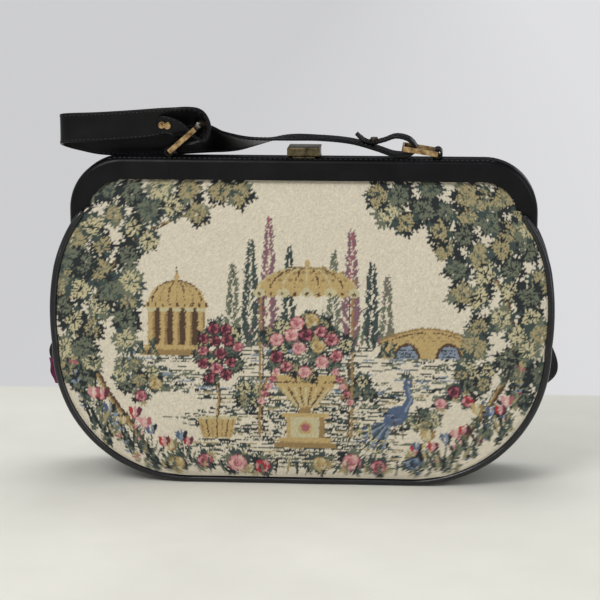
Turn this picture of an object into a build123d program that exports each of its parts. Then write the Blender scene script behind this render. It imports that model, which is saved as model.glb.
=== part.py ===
"""Frame handbag of tapestry and leather, with a strap handle on two brass rings.

Millimetres. X runs across the bag, the front faces -Y, Z is up. The origin is the
centre of the base, on the surface that the bag stands on.
"""

from build123d import *
import os
from math import cos, pi, radians, sin

# Body outline, seen from the front: right half, mirrored for the left
BASE_HALF_WIDTH = 74.0
CORNER_MID = (128.0, 17.0)
CORNER_END = (168.5, 94.5)
SIDE_MID = (170.2, 118.0)
SIDE_END = (168.0, 146.0)
SHOULDER_MID = (162.0, 165.0)
SHOULDER_END = (150.5, 184.0)

# Half depth of the body at each height
HALF_DEPTH = [
    (33.0, 0.0),
    (36.0, 20.0),
    (35.2, 60.0),
    (31.2, 100.0),
    (25.0, 138.0),
    (18.8, 168.0),
    (14.6, 190.0),
    (8.2, 204.4),
]

# Sheets and cords of the body
PIPING = 4.2
PANEL_THICKNESS = 1.4
PANEL_SINK = 0.9
GUSSET_THICKNESS = 1.4
BOARD_THICKNESS = 1.5
LINING_THICKNESS = 0.8
SEAM_GAP = 0.06
LAYER_GAP = 0.25
PIPING_TOP = 185.5
BOARD_TOP = 158.0
BASE_BOARD_HALF_WIDTH = 70.0
LINING_NECK_BOTTOM = 147.0
LINING_SLIT_BOTTOM = 165.0
LINING_SLIT_HALF_DEPTH = 5.0
LINING_NECK_INSET = 2.5
PANEL_TUCK = 9.0
LINING_TUCK = 8.0

# Creases of the gusset that stand out at the sides, and the lining in the split of the left one
FOLD_LOW = 58.0
FOLD_MIDDLE = 78.0
FOLD_HIGH = 100.0
LEFT_FOLD_REACH = 7.0
RIGHT_FOLD_REACH = 8.0
FOLD_HALF_DEPTH = 7.5
FOLD_RIDGE = 0.8
PEEK_LOW = 63.0
PEEK_HIGH = 80.5
PEEK_REACH = 2.2
PEEK_WIDTH = 4.0
PEEK_DEPTH = 3.0
GUSSET_TUCK_LOW = 149.5
GUSSET_TUCK_HIGH = 159.6

# Frame of two bent steel channels covered with leather
FRAME_HALF_WIDTH = 158.5
FRAME_TOP = 220.0
FRAME_CORNER_RADIUS = 36.0
FRAME_BAND = 15.0
FRAME_HALF_DEPTH = 11.0
FRAME_SPLIT_GAP = 0.6
FRAME_EDGE_RADIUS = 4.0
COVER_THICKNESS = 1.2
CHANNEL_THICKNESS = 1.2
CHANNEL_BAND = 13.5
HINGE_Z = 168.0

# Hinges at the ends of the frame's arms
EAR_THICKNESS = 1.2
EAR_GAP = 0.3
EAR_RADIUS = 5.0
EAR_INSET = 9.5
EAR_NECK_TOP = 188.0
EAR_NOTCH_CLEARANCE = 1.0
PIN_RADIUS = 1.5
PIN_CLEARANCE = 0.08
PIN_HEAD_RADIUS = 2.6
PIN_HEAD_LENGTH = 0.9
PIN_HEAD_CHAMFER = 0.4

# Clasp at the middle of the frame's top
CLASP_X = 1.0
CLASP_WIDTH = 22.0
CLASP_FRONT_Y = -11.2
CLASP_REAR_Y = 11.4
CLASP_LID_BOTTOM = 222.0
CLASP_LID_TOP = 227.3
CLASP_WALL = 1.0
CLASP_PIN_Y = 9.2
CLASP_PIN_Z = 224.0
CLASP_PIN_RADIUS = 0.9
CLASP_PIN_CLEARANCE = 0.06
CLASP_BARREL_RADIUS = 1.9
CLASP_EAR_THICKNESS = 0.8
CLASP_PLATE = 1.0
CLASP_CLEARANCE = 0.3
CLASP_LID_EDGE_RADIUS = 0.8
CATCH_WIDTH = 15.0
CATCH_DEPTH = 8.0
CATCH_BEAD_RADIUS = 1.6
SPRING_THICKNESS = 0.4
SPRING_WIDTH = 9.0
SPRING_LENGTH = 5.5

# Rings, bent from brass strip, and the leather loops that hold them
RING_LENGTH = 25.0
RING_WIDTH = 25.0
RING_STRIP_WIDTH = 3.4
RING_STRIP_THICKNESS = 1.5
RING_CORNER_RADIUS = 2.4
LEFT_RING_X = -90.0
RIGHT_RING_X = 91.0
LEFT_RING_LEAN = 41.0
RIGHT_RING_LEAN = 171.0
CHAPE_THICKNESS = 1.2
CHAPE_WIDTH = 18.0
CHAPE_BORE_CLEARANCE = 0.15
CHAPE_LIFT = 0.4
CHAPE_FOOT_FRONT_Y = 1.2
CHAPE_FOOT_REAR_Y = 10.2

# Handle strap: station, across-strap direction in the YZ plane in degrees, width
STRAP_WIDTH = 20.0
TONGUE_WIDTH = 12.0
STRAP_THICKNESS = 2.2
TONGUE_Z = 230.3
STRAP_ROUTE = [
    ((-97.5, -7.4, 242.3), -90.0, 7.0),
    ((-95.0, -7.6, 242.0), -90.0, TONGUE_WIDTH),
    ((-86.0, -8.0, 240.0), -76.0, TONGUE_WIDTH),
    ((-76.5, -3.2, 231.6), -38.0, 15.0),
    ((-68.5, -0.4, 231.2), -6.0, 18.0),
    ((-64.8, 0.0, 239.0), -6.0, STRAP_WIDTH),
    ((-69.5, -0.8, 246.0), -20.0, STRAP_WIDTH),
    ((-78.0, -2.0, 246.6), -42.0, STRAP_WIDTH),
    ((-90.0, -3.5, 244.2), -64.0, STRAP_WIDTH),
    ((-110.0, -4.6, 241.8), -82.0, STRAP_WIDTH),
    ((-137.0, -5.0, 239.8), -88.0, STRAP_WIDTH),
    ((-155.0, -4.6, 239.0), -90.0, STRAP_WIDTH),
    ((-163.0, -1.0, 238.3), -90.0, STRAP_WIDTH),
    ((-164.8, 4.6, 237.4), -90.0, STRAP_WIDTH),
    ((-162.0, 10.2, 236.2), -90.0, STRAP_WIDTH),
    ((-153.0, 14.0, 234.4), -90.0, STRAP_WIDTH),
    ((-135.0, 15.0, 231.6), -90.0, 19.0),
    ((-100.0, 15.4, 230.4), -90.0, 18.0),
    ((-71.0, 15.2, 229.6), -86.0, 17.0),
    ((-54.0, 10.5, 229.4), -55.0, 16.5),
    ((-36.0, 4.5, 231.0), -22.0, 17.5),
    ((-12.0, 0.5, 232.8), 0.0, 19.0),
    ((12.0, 0.0, 232.8), 0.0, STRAP_WIDTH),
    ((33.0, 0.0, 230.8), 0.0, STRAP_WIDTH),
    ((50.0, 0.0, 226.2), 0.0, STRAP_WIDTH),
    ((61.0, 0.0, 222.6), 0.0, STRAP_WIDTH),
    ((71.0, 0.0, 222.5), 0.0, STRAP_WIDTH),
    ((76.0, 0.0, 226.8), 0.0, STRAP_WIDTH),
    ((71.5, 0.0, 232.6), 0.0, 18.0),
    ((63.0, 0.0, 234.6), 0.0, 15.0),
    ((55.0, 0.0, 232.0), 0.0, TONGUE_WIDTH),
    ((48.0, 0.0, TONGUE_Z), 0.0, TONGUE_WIDTH),
    ((42.0, 0.0, 231.2), 0.0, TONGUE_WIDTH),
    ((36.0, 0.0, 236.2), 0.0, 7.0),
]
STRAP_STEPS = 3
LEFT_STUD_AT = 1.35
RIGHT_STUD_X = 48.0
STUD_RADIUS = 2.7
STUD_LOBE_OFFSET = 2.0
STUD_HEIGHT = 1.6
STUD_SHANK_RADIUS = 1.1
STUD_SEAT = 0.4

# Distances that follow from the sizes above
SPLIT_Y = FRAME_SPLIT_GAP / 2
CHANNEL_INSET = COVER_THICKNESS + 0.05
CHAPE_BORE = (RING_STRIP_WIDTH**2 + RING_STRIP_THICKNESS**2) ** 0.5 / 2 + CHAPE_BORE_CLEARANCE
CHAPE_RADIUS = CHAPE_BORE + CHAPE_THICKNESS
RING_BAR_Z = FRAME_TOP + CHAPE_RADIUS + CHAPE_LIFT
EAR_X = FRAME_HALF_WIDTH - EAR_INSET
LINING_NECK_X = FRAME_HALF_WIDTH - FRAME_BAND - LINING_NECK_INSET

# Ranges that reach past the bag on each axis
BODY_REACH = 1.5 * FRAME_HALF_WIDTH
DEPTH_REACH = 2 * max(depth for depth, _ in HALF_DEPTH)
ACROSS = (-BODY_REACH, BODY_REACH)
THROUGH = (-DEPTH_REACH, DEPTH_REACH)
BELOW = -FRAME_BAND
ABOVE = FRAME_TOP + FRAME_CORNER_RADIUS


def mirrored(shape):
    """The shape's twin on the other side of the YZ plane."""
    return mirror(shape, about=Plane.YZ)


def rear(shape):
    """The shape's twin at the back of the bag."""
    return mirror(shape, about=Plane.XZ)


def block(x, y, z):
    """A box between two corners, each axis given as (low, high)."""
    size = Box(x[1] - x[0], y[1] - y[0], z[1] - z[0])
    return Pos((x[0] + x[1]) / 2, (y[0] + y[1]) / 2, (z[0] + z[1]) / 2) * size


def along_y(face, y_low, y_high):
    """A face drawn in the XZ plane, extruded between two places on Y."""
    return Pos(0, y_low, 0) * extrude(face, y_high - y_low, dir=(0, 1, 0))


def outline(inset, top=SHOULDER_END[1]):
    """The body seen from the front, as a face, drawn in by an inset on every side."""
    neck = (FRAME_HALF_WIDTH - FRAME_BAND + PIPING, top + 8.0)
    right = [
        Line((0, 0, 0), (BASE_HALF_WIDTH, 0, 0)),
        ThreePointArc((BASE_HALF_WIDTH, 0, 0), at(CORNER_MID), at(CORNER_END)),
        ThreePointArc(at(CORNER_END), at(SIDE_MID), at(SIDE_END)),
        ThreePointArc(at(SIDE_END), at(SHOULDER_MID), at(SHOULDER_END)),
        Line(at(SHOULDER_END), at(neck)),
        Line(at(neck), (neck[0], 0, ABOVE)),
        Line((neck[0], 0, ABOVE), (0, 0, ABOVE)),
    ]
    half = Curve() + right
    face = make_face((half + mirrored(half)).edges())
    if inset == 0:
        return face
    return make_face(face.wires()[0].offset_2d(-inset, kind=Kind.ARC).edges())


def at(point):
    """A point of the front view, in space."""
    return (point[0], 0, point[1])


def profile(inset):
    """The body seen from the side, as a solid across the whole width, drawn in on Y."""
    points = [(0, depth - inset, height) for depth, height in HALF_DEPTH]
    curve = Spline(points)
    low = (0, points[0][1], BELOW)
    high = (0, points[-1][1], ABOVE)
    edges = [
        Line((0, 0, BELOW), low),
        Line(low, points[0]),
        curve,
        Line(points[-1], high),
        Line(high, (0, 0, ABOVE)),
        Line((0, 0, ABOVE), (0, 0, BELOW)),
    ]
    return extrude(make_face((Curve() + edges).edges()), BODY_REACH, dir=(1, 0, 0), both=True)


def skin(outer, thickness):
    """A sheet that follows the back of the body, at a depth under its surface."""
    return profile(outer) - profile(outer + thickness)


def prism(inset):
    """The outline as a bar that runs through the bag from front to back."""
    return along_y(outline(inset), *THROUGH)


def arch(outer_inset, inner_inset, y_low, y_high, corner=0.0):
    """A bar bent to the frame's arch. The edge at the outside of the back is rounded."""
    half = FRAME_HALF_WIDTH - outer_inset
    top = FRAME_TOP - outer_inset
    radius = FRAME_CORNER_RADIUS - outer_inset
    hole_half = FRAME_HALF_WIDTH - inner_inset
    hole_top = FRAME_TOP - inner_inset
    hole_radius = max(FRAME_CORNER_RADIUS - inner_inset, 2.0)
    outside = along_y(arch_face(half, top, radius), y_low, y_high)
    if corner:
        back = outside.faces().sort_by(Axis.Y)[-1]
        rim = [e for e in back.edges() if e.center().Z > HINGE_Z + 0.1]
        outside = fillet(rim, corner)
    inside = along_y(arch_face(hole_half, hole_top, hole_radius, drop=5), y_low - 5, y_high + 5)
    return outside - inside


def arch_face(half, top, radius, drop=0):
    """The area under an arch with round shoulders, down to the hinges."""
    bottom = HINGE_Z - drop
    shoulder = top - radius
    turn = radius * cos(pi / 4)
    centre = half - radius
    points = [(-half, bottom), (-half, shoulder), (-centre, top), (centre, top), (half, shoulder), (half, bottom)]
    wires = [
        Line(at(points[0]), at(points[1])),
        ThreePointArc(at(points[1]), at((-centre - turn, shoulder + turn)), at(points[2])),
        Line(at(points[2]), at(points[3])),
        ThreePointArc(at(points[3]), at((centre + turn, shoulder + turn)), at(points[4])),
        Line(at(points[4]), at(points[5])),
        Line(at(points[5]), at(points[0])),
    ]
    return make_face((Curve() + wires).edges())


def front_edge_strip():
    """Where the panel and the lining leave the arch and are tucked into the channel."""
    low_part = block(ACROSS, THROUGH, (BELOW, SHOULDER_END[1] + 4))
    return tucked(1.0, 2.0, PANEL_TUCK) + low_part


def tucked(inset, side_inset, tuck):
    """The space inside the frame's arch, with a straight top edge that runs up into the channel."""
    band = FRAME_BAND + inset
    opening = arch_face(FRAME_HALF_WIDTH - band, FRAME_TOP - band, FRAME_CORNER_RADIUS - band, drop=HINGE_Z - BELOW)
    half = FRAME_HALF_WIDTH - FRAME_CORNER_RADIUS - side_inset
    return along_y(opening, *THROUGH) + block((-half, half), THROUGH, (BELOW, FRAME_TOP - FRAME_BAND + tuck))


def round_bar(radius, length, centre):
    """A cylinder along X, centred on a point."""
    return Pos(*centre) * Rot(0, 90, 0) * Cylinder(radius, length)


def back_panel():
    body = prism(PIPING + SEAM_GAP) & skin(PANEL_SINK, PANEL_THICKNESS)
    return body & front_edge_strip()


def back_piping():
    """The cord sewn along the panel's edge, from one arm of the frame to the other."""
    ring = prism(0) - prism(PIPING)
    cord = ring & skin(0, PIPING)
    cord = cord & block(ACROSS, THROUGH, (BELOW, PIPING_TOP))
    return cord.solids().sort_by(SortBy.VOLUME)[-1]


def gusset():
    """The strip round the sides and the base, with a fold standing out at each side."""
    ring = prism(0) - prism(GUSSET_THICKNESS)
    depth = profile(PIPING + SEAM_GAP)
    strip = ring & (depth + rear(depth))
    strip = strip & block(ACROSS, THROUGH, (BELOW, HINGE_Z - EAR_RADIUS - 1))
    tuck = gusset_tuck()
    strip = strip + tuck + mirrored(tuck)
    strip = strip + mirrored(side_fold(LEFT_FOLD_REACH)) + side_fold(RIGHT_FOLD_REACH)
    return strip - peek_shape()


def gusset_tuck():
    """The top of the gusset, folded inwards and down, clear of the frame's arms as they swing."""
    outer = (SIDE_END[0], GUSSET_TUCK_HIGH)
    inner = (LINING_NECK_X + GUSSET_THICKNESS, GUSSET_TUCK_LOW)
    sheet = Polyline(
        at(outer), at(inner), at((inner[0], inner[1] + GUSSET_THICKNESS)),
        at((outer[0], outer[1] + GUSSET_THICKNESS)), close=True,
    )
    depth = profile(inner_depth())
    return along_y(make_face(sheet.edges()), *THROUGH) & (depth + rear(depth)) & prism(0)


def side_fold(reach):
    """A crease at the right side: a ridge that rises and fades along an arc, on sloping flanks."""
    foot = (side_x(FOLD_LOW) - GUSSET_THICKNESS / 2, FOLD_LOW)
    crown = (side_x(FOLD_HIGH) - GUSSET_THICKNESS / 2, FOLD_HIGH)
    tip = side_x(FOLD_MIDDLE) + reach
    ridge = [ThreePointArc(at(foot), at((tip, FOLD_MIDDLE)), at(crown)), Line(at(crown), at(foot))]
    root = min(foot[0], crown[0]) - GUSSET_THICKNESS / 4
    flanks = Polyline(
        (root, -FOLD_HALF_DEPTH, 0), (tip, -FOLD_RIDGE, 0), (tip, FOLD_RIDGE, 0), (root, FOLD_HALF_DEPTH, 0), close=True,
    )
    wedge = extrude(make_face(flanks.edges()), ABOVE, dir=(0, 0, 1))
    return along_y(make_face((Curve() + ridge).edges()), *THROUGH) & wedge


def side_x(height):
    """How far the body's side stands out at a height, on the arc of its lower corner."""
    edge = ThreePointArc((BASE_HALF_WIDTH, 0, 0), at(CORNER_MID), at(CORNER_END))
    low, high = 0.0, 1.0
    for _ in range(30):
        share = (low + high) / 2
        if (edge @ share).Z < height:
            low = share
        else:
            high = share
    return (edge @ low).X


def peek_shape():
    """The scrap of lining that shows through the split in the front of the left crease."""
    tip = side_x(FOLD_MIDDLE) + LEFT_FOLD_REACH + PEEK_REACH
    low = (side_x(PEEK_LOW) - GUSSET_THICKNESS / 2, PEEK_LOW)
    middle = (PEEK_LOW + PEEK_HIGH) / 2
    scrap = Polyline(
        at(low), at((tip - PEEK_REACH / 2, middle - PEEK_WIDTH)), at((tip, PEEK_HIGH)),
        at((tip - PEEK_WIDTH, PEEK_HIGH)), at((side_x(middle), middle)), close=True,
    )
    return mirrored(along_y(make_face(scrap.edges()), -FOLD_RIDGE / 2 - PEEK_DEPTH, -FOLD_RIDGE / 2))


def back_board():
    sheet = prism(PIPING + LAYER_GAP) & skin(PANEL_SINK + PANEL_THICKNESS + LAYER_GAP / 2, BOARD_THICKNESS)
    return sheet & block(ACROSS, THROUGH, (GUSSET_THICKNESS + BOARD_THICKNESS, BOARD_TOP))


def board_depth():
    """How far the inner face of a board lies under the bag's surface."""
    return PANEL_SINK + PANEL_THICKNESS + LAYER_GAP / 2 + BOARD_THICKNESS


def inner_depth():
    """How far what lies inside boards and cords is under the bag's surface."""
    return max(board_depth() + LAYER_GAP, PIPING + SEAM_GAP)


def base_board():
    low = GUSSET_THICKNESS
    half = HALF_DEPTH[0][0] - board_depth() - 2 * LAYER_GAP
    return block((-BASE_BOARD_HALF_WIDTH, BASE_BOARD_HALF_WIDTH), (-half, half), (low, low + BOARD_THICKNESS))


def lining_body(extra):
    """The space inside the lining's outer face, or further in by an extra."""
    side = PIPING + SEAM_GAP + extra
    depth = profile(inner_depth() + extra)
    shape = prism(side) & (depth + rear(depth))
    wide = block(ACROSS, THROUGH, (BELOW, LINING_NECK_BOTTOM - extra))
    neck_half = LINING_NECK_X - extra
    neck = block((-neck_half, neck_half), THROUGH, (BELOW, ABOVE))
    return shape & (wide + neck)


def lining():
    """One sewn bag, open at the top, slit beside the hinges so that the mouth can open."""
    shell = lining_body(0) - lining_body(LINING_THICKNESS)
    low_part = block(ACROSS, THROUGH, (BELOW, LINING_NECK_BOTTOM))
    shell = shell & (tucked(LINING_NECK_INSET, 4.0, LINING_TUCK) + low_part)
    slit = block(ACROSS, (-LINING_SLIT_HALF_DEPTH, LINING_SLIT_HALF_DEPTH), (LINING_SLIT_BOTTOM, ABOVE))
    between = LINING_NECK_X - 11
    return shell - (slit - block((-between, between), THROUGH, (BELOW, ABOVE)))


def back_cover():
    """Leather over the back half of the frame: its face, its outer edge and its round corner."""
    whole = arch(0, FRAME_BAND, SPLIT_Y, FRAME_HALF_DEPTH, FRAME_EDGE_RADIUS)
    inside_edge = FRAME_EDGE_RADIUS - COVER_THICKNESS
    space = arch(
        COVER_THICKNESS, FRAME_BAND + 3, SPLIT_Y - 1, FRAME_HALF_DEPTH - COVER_THICKNESS, inside_edge
    )
    return whole - space


def back_channel(ear_x):
    """Bent steel channel, open towards the bag, with a hinge ear at each end."""
    deep = FRAME_HALF_DEPTH - CHANNEL_INSET
    edge = FRAME_EDGE_RADIUS - CHANNEL_INSET
    whole = arch(CHANNEL_INSET, CHANNEL_BAND, SPLIT_Y, deep, edge)
    wall = CHANNEL_THICKNESS
    space = arch(
        CHANNEL_INSET + wall, CHANNEL_BAND + 3, SPLIT_Y + wall, deep - wall, edge - wall
    )
    channel = whole - space
    notch_top = HINGE_Z + EAR_RADIUS + EAR_NOTCH_CLEARANCE
    notch = block((EAR_X - 8, EAR_X + 7), (0, SPLIT_Y + wall + 0.1), (HINGE_Z - 1, notch_top))
    channel = channel - notch - mirrored(notch)
    disc = round_bar(EAR_RADIUS, EAR_THICKNESS, (ear_x + EAR_THICKNESS / 2, 0, HINGE_Z))
    neck_y = (SPLIT_Y + 0.8, deep - wall + 0.2)
    neck = block((ear_x, ear_x + EAR_THICKNESS), neck_y, (HINGE_Z, EAR_NECK_TOP))
    ear = disc + neck
    return channel + ear + mirrored(ear)


def pin_hole(radius):
    """The hole through both ears of a hinge, with its twin on the left."""
    hole = round_bar(radius, 12, (EAR_X + EAR_THICKNESS, 0, HINGE_Z))
    return hole + mirrored(hole)


def hinge_pin():
    """A rivet through the two ears, with a head at each end."""
    inner = EAR_X - PIN_CLEARANCE
    outer = EAR_X + 2 * EAR_THICKNESS + EAR_GAP + PIN_CLEARANCE
    shank = round_bar(PIN_RADIUS, outer - inner, ((inner + outer) / 2, 0, HINGE_Z))
    head = Cylinder(PIN_HEAD_RADIUS, PIN_HEAD_LENGTH)
    head = chamfer(head.edges().sort_by(Axis.Z)[-1], PIN_HEAD_CHAMFER)
    outer_head = Pos(outer + PIN_HEAD_LENGTH / 2, 0, HINGE_Z) * Rot(0, 90, 0) * head
    inner_head = Pos(inner - PIN_HEAD_LENGTH / 2, 0, HINGE_Z) * Rot(0, -90, 0) * head
    return shank + outer_head + inner_head


def clasp_ear_x():
    """The inner face of a clasp ear, measured from the clasp's middle."""
    return CLASP_WIDTH / 2 - CLASP_WALL - CLASP_CLEARANCE - CLASP_EAR_THICKNESS


def clasp_base():
    """The plate on the back half of the frame, with two ears for the lid's pin."""
    half = CLASP_WIDTH / 2
    plate = block((-half, half), (SPLIT_Y + 0.4, FRAME_HALF_DEPTH - 0.4), (FRAME_TOP, FRAME_TOP + CLASP_PLATE))
    ear_x = clasp_ear_x()
    centre = (ear_x + CLASP_EAR_THICKNESS / 2, CLASP_PIN_Y, CLASP_PIN_Z)
    ear = round_bar(CLASP_BARREL_RADIUS, CLASP_EAR_THICKNESS, centre)
    reach = CLASP_BARREL_RADIUS
    ear = ear + block(
        (ear_x, ear_x + CLASP_EAR_THICKNESS),
        (CLASP_PIN_Y - reach, CLASP_PIN_Y + reach),
        (FRAME_TOP + CLASP_PLATE / 2, CLASP_PIN_Z),
    )
    base = plate + ear + mirrored(ear)
    hole = round_bar(CLASP_PIN_RADIUS, CLASP_WIDTH, (0, CLASP_PIN_Y, CLASP_PIN_Z))
    return Pos(CLASP_X, 0, 0) * (base - hole)


def clasp_pin():
    length = 2 * (clasp_ear_x() + CLASP_EAR_THICKNESS)
    return round_bar(CLASP_PIN_RADIUS, length, (CLASP_X, CLASP_PIN_Y, CLASP_PIN_Z))


def clasp_lid():
    """The lever: a shallow brass lid with a barrel at its back that turns on the pin."""
    half = CLASP_WIDTH / 2
    lid = block((-half, half), (CLASP_FRONT_Y, CLASP_REAR_Y), (CLASP_LID_BOTTOM, CLASP_LID_TOP))
    top = lid.faces().sort_by(Axis.Z)[-1]
    lid = fillet(top.edges(), CLASP_LID_EDGE_RADIUS)
    inside_top = CLASP_LID_TOP - CLASP_WALL
    hollow = block(
        (-half + CLASP_WALL, half - CLASP_WALL),
        (CLASP_FRONT_Y + CLASP_WALL, CLASP_REAR_Y + 5),
        (CLASP_LID_BOTTOM - 5, inside_top),
    )
    cut_back = block((-half - 1, half + 1), (CLASP_PIN_Y - CLASP_BARREL_RADIUS - 1, DEPTH_REACH), (FRAME_TOP, inside_top))
    lid = lid - hollow - cut_back
    length = 2 * (clasp_ear_x() - CLASP_CLEARANCE)
    barrel = round_bar(CLASP_BARREL_RADIUS, length, (0, CLASP_PIN_Y, CLASP_PIN_Z))
    web = block(
        (-length / 2, length / 2),
        (CLASP_PIN_Y - 0.6, CLASP_PIN_Y + 0.6),
        (CLASP_PIN_Z, inside_top + CLASP_WALL / 2),
    )
    hole = round_bar(CLASP_PIN_RADIUS + CLASP_PIN_CLEARANCE, CLASP_WIDTH, (0, CLASP_PIN_Y, CLASP_PIN_Z))
    return Pos(CLASP_X, 0, 0) * (lid + barrel + web - hole)


def clasp_catch():
    """The plate on the front half of the frame, with the bead that the lid snaps over."""
    half = CATCH_WIDTH / 2
    back = -SPLIT_Y - 0.4
    plate = block((-half, half), (back - CATCH_DEPTH, back), (FRAME_TOP, FRAME_TOP + CLASP_PLATE))
    bead_top = CLASP_LID_BOTTOM - CLASP_CLEARANCE
    bead = round_bar(CATCH_BEAD_RADIUS, CATCH_WIDTH, (0, back - CATCH_DEPTH / 2, bead_top - CATCH_BEAD_RADIUS))
    over = block((-half, half), (back - CATCH_DEPTH, back), (FRAME_TOP, CLASP_LID_BOTTOM))
    return Pos(CLASP_X, 0, 0) * (plate + (bead & over))


def clasp_spring():
    """A leaf on the base plate that bears on the lid's barrel from below."""
    low = FRAME_TOP + CLASP_PLATE
    back = CLASP_PIN_Y + 0.4
    half = SPRING_WIDTH / 2
    leaf = block((-half, half), (back - SPRING_LENGTH, back), (low, low + SPRING_THICKNESS))
    return Pos(CLASP_X, 0, 0) * leaf


def ring(x, lean):
    """A rectangular loop of strip. The bar in the chape is at x, and the loop leans up from there."""
    loop = Box(RING_LENGTH, RING_WIDTH, RING_STRIP_WIDTH)
    loop = fillet(loop.edges().filter_by(Axis.Z), RING_CORNER_RADIUS)
    wall = RING_STRIP_THICKNESS
    hole = Box(RING_LENGTH - 2 * wall, RING_WIDTH - 2 * wall, RING_STRIP_WIDTH + 2)
    hole = fillet(hole.edges().filter_by(Axis.Z), RING_CORNER_RADIUS - wall)
    loop = Pos((RING_LENGTH - wall) / 2, 0, 0) * (loop - hole)
    return Pos(x, 0, RING_BAR_Z) * Rot(0, -lean, 0) * loop


def chape(x):
    """The leather loop that holds a ring, on a foot stuck to the back half of the frame."""
    loop = Pos(x, 0, RING_BAR_Z) * Rot(90, 0, 0) * Cylinder(CHAPE_RADIUS, CHAPE_WIDTH)
    foot = block(
        (x - CHAPE_RADIUS, x + CHAPE_RADIUS),
        (CHAPE_FOOT_FRONT_Y, CHAPE_FOOT_REAR_Y),
        (FRAME_TOP, FRAME_TOP + CHAPE_LIFT + CHAPE_THICKNESS + 0.4),
    )
    bore = Pos(x, 0, RING_BAR_Z) * Rot(90, 0, 0) * Cylinder(CHAPE_BORE, 2 * CHAPE_WIDTH)
    return loop + foot - bore


def strap_station(place):
    """Centre, direction across and width of the strap at a place along its stations."""
    last = len(STRAP_ROUTE) - 1
    i = min(int(place), last - 1)
    t = place - i
    picks = [STRAP_ROUTE[min(max(n, 0), last)] for n in (i - 1, i, i + 1, i + 2)]
    weights = (
        -0.5 * t + t**2 - 0.5 * t**3,
        1 - 2.5 * t**2 + 1.5 * t**3,
        0.5 * t + 2 * t**2 - 1.5 * t**3,
        -0.5 * t**2 + 0.5 * t**3,
    )
    centre = Vector()
    for (point, _, _), weight in zip(picks, weights):
        centre += Vector(*point) * weight
    angle = picks[1][1] * (1 - t) + picks[2][1] * t
    width = picks[1][2] * (1 - t) + picks[2][2] * t
    across = Vector(0, cos(radians(angle)), sin(radians(angle)))
    return centre, across, width


def strap_section(place):
    """The four corners of the strap at a place along its stations."""
    step = 0.02
    last = len(STRAP_ROUTE) - 1
    centre, across, width = strap_station(place)
    ahead = strap_station(min(place + step, last))[0]
    behind = strap_station(max(place - step, 0))[0]
    along = (ahead - behind).normalized()
    across = (across - along * across.dot(along)).normalized()
    through = along.cross(across)
    side = across * (width / 2)
    thick = through * (STRAP_THICKNESS / 2)
    return [centre - side - thick, centre + side - thick, centre + side + thick, centre - side + thick]


def handle_strap():
    """The strap as a closed skin of flat facets over its sections."""
    last = len(STRAP_ROUTE) - 1
    places = [n / STRAP_STEPS for n in range(last * STRAP_STEPS + 1)]
    sections = [strap_section(place) for place in places]
    faces = cap(sections[0])
    for one, two in zip(sections, sections[1:]):
        for n in range(4):
            m = (n + 1) % 4
            faces.append(Face(Wire.make_polygon([one[n], two[n], two[m]])))
            faces.append(Face(Wire.make_polygon([one[n], two[m], one[m]])))
    faces += cap(sections[-1])
    body = Solid(Shell(faces))
    if body.volume < 0:
        body = Solid(Shell([-face for face in faces]))
    return body


def cap(corners):
    """Two facets that close an end of the strap."""
    a, b, c, d = corners
    return [Face(Wire.make_polygon([a, b, c])), Face(Wire.make_polygon([a, c, d]))]


def left_stud_place():
    """Plane on the front of the left tongue, facing the viewer."""
    centre, across, _ = strap_station(LEFT_STUD_AT)
    ahead = strap_station(LEFT_STUD_AT + 0.02)[0]
    along = (ahead - centre).normalized()
    through = along.cross(across).normalized()
    if through.Y > 0:
        through = -through
    origin = centre + through * (STRAP_THICKNESS / 2)
    return Plane(origin=origin, x_dir=along, z_dir=through)


def right_stud_place():
    """Plane on top of the right tongue, facing up."""
    top = TONGUE_Z + STRAP_THICKNESS / 2
    return Plane(origin=(RIGHT_STUD_X, 0, top), x_dir=(0, 1, 0), z_dir=(0, 0, 1))


def stud(place, grip):
    """A two-lobed domed head on a shank that goes down through the leather."""
    lobes = Pos(-STUD_LOBE_OFFSET, 0, 0) * Sphere(STUD_RADIUS) + Pos(STUD_LOBE_OFFSET, 0, 0) * Sphere(STUD_RADIUS)
    head = lobes & Pos(0, 0, STUD_HEIGHT / 2) * Box(20, 20, STUD_HEIGHT)
    shank = Pos(0, 0, -grip / 2) * Cylinder(STUD_SHANK_RADIUS, grip + 2 * STUD_SEAT)
    return place.location * (Pos(0, 0, STUD_SEAT) * head + shank)


def shank_hole(place, grip):
    """The hole that a stud's shank passes through."""
    return place.location * Pos(0, 0, 0.5 - grip / 2) * Cylinder(STUD_SHANK_RADIUS + 0.05, grip + 3)


LEFT_GRIP = STRAP_THICKNESS + 0.3
RIGHT_GRIP = 2 * STRAP_THICKNESS + 1.2


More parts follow.
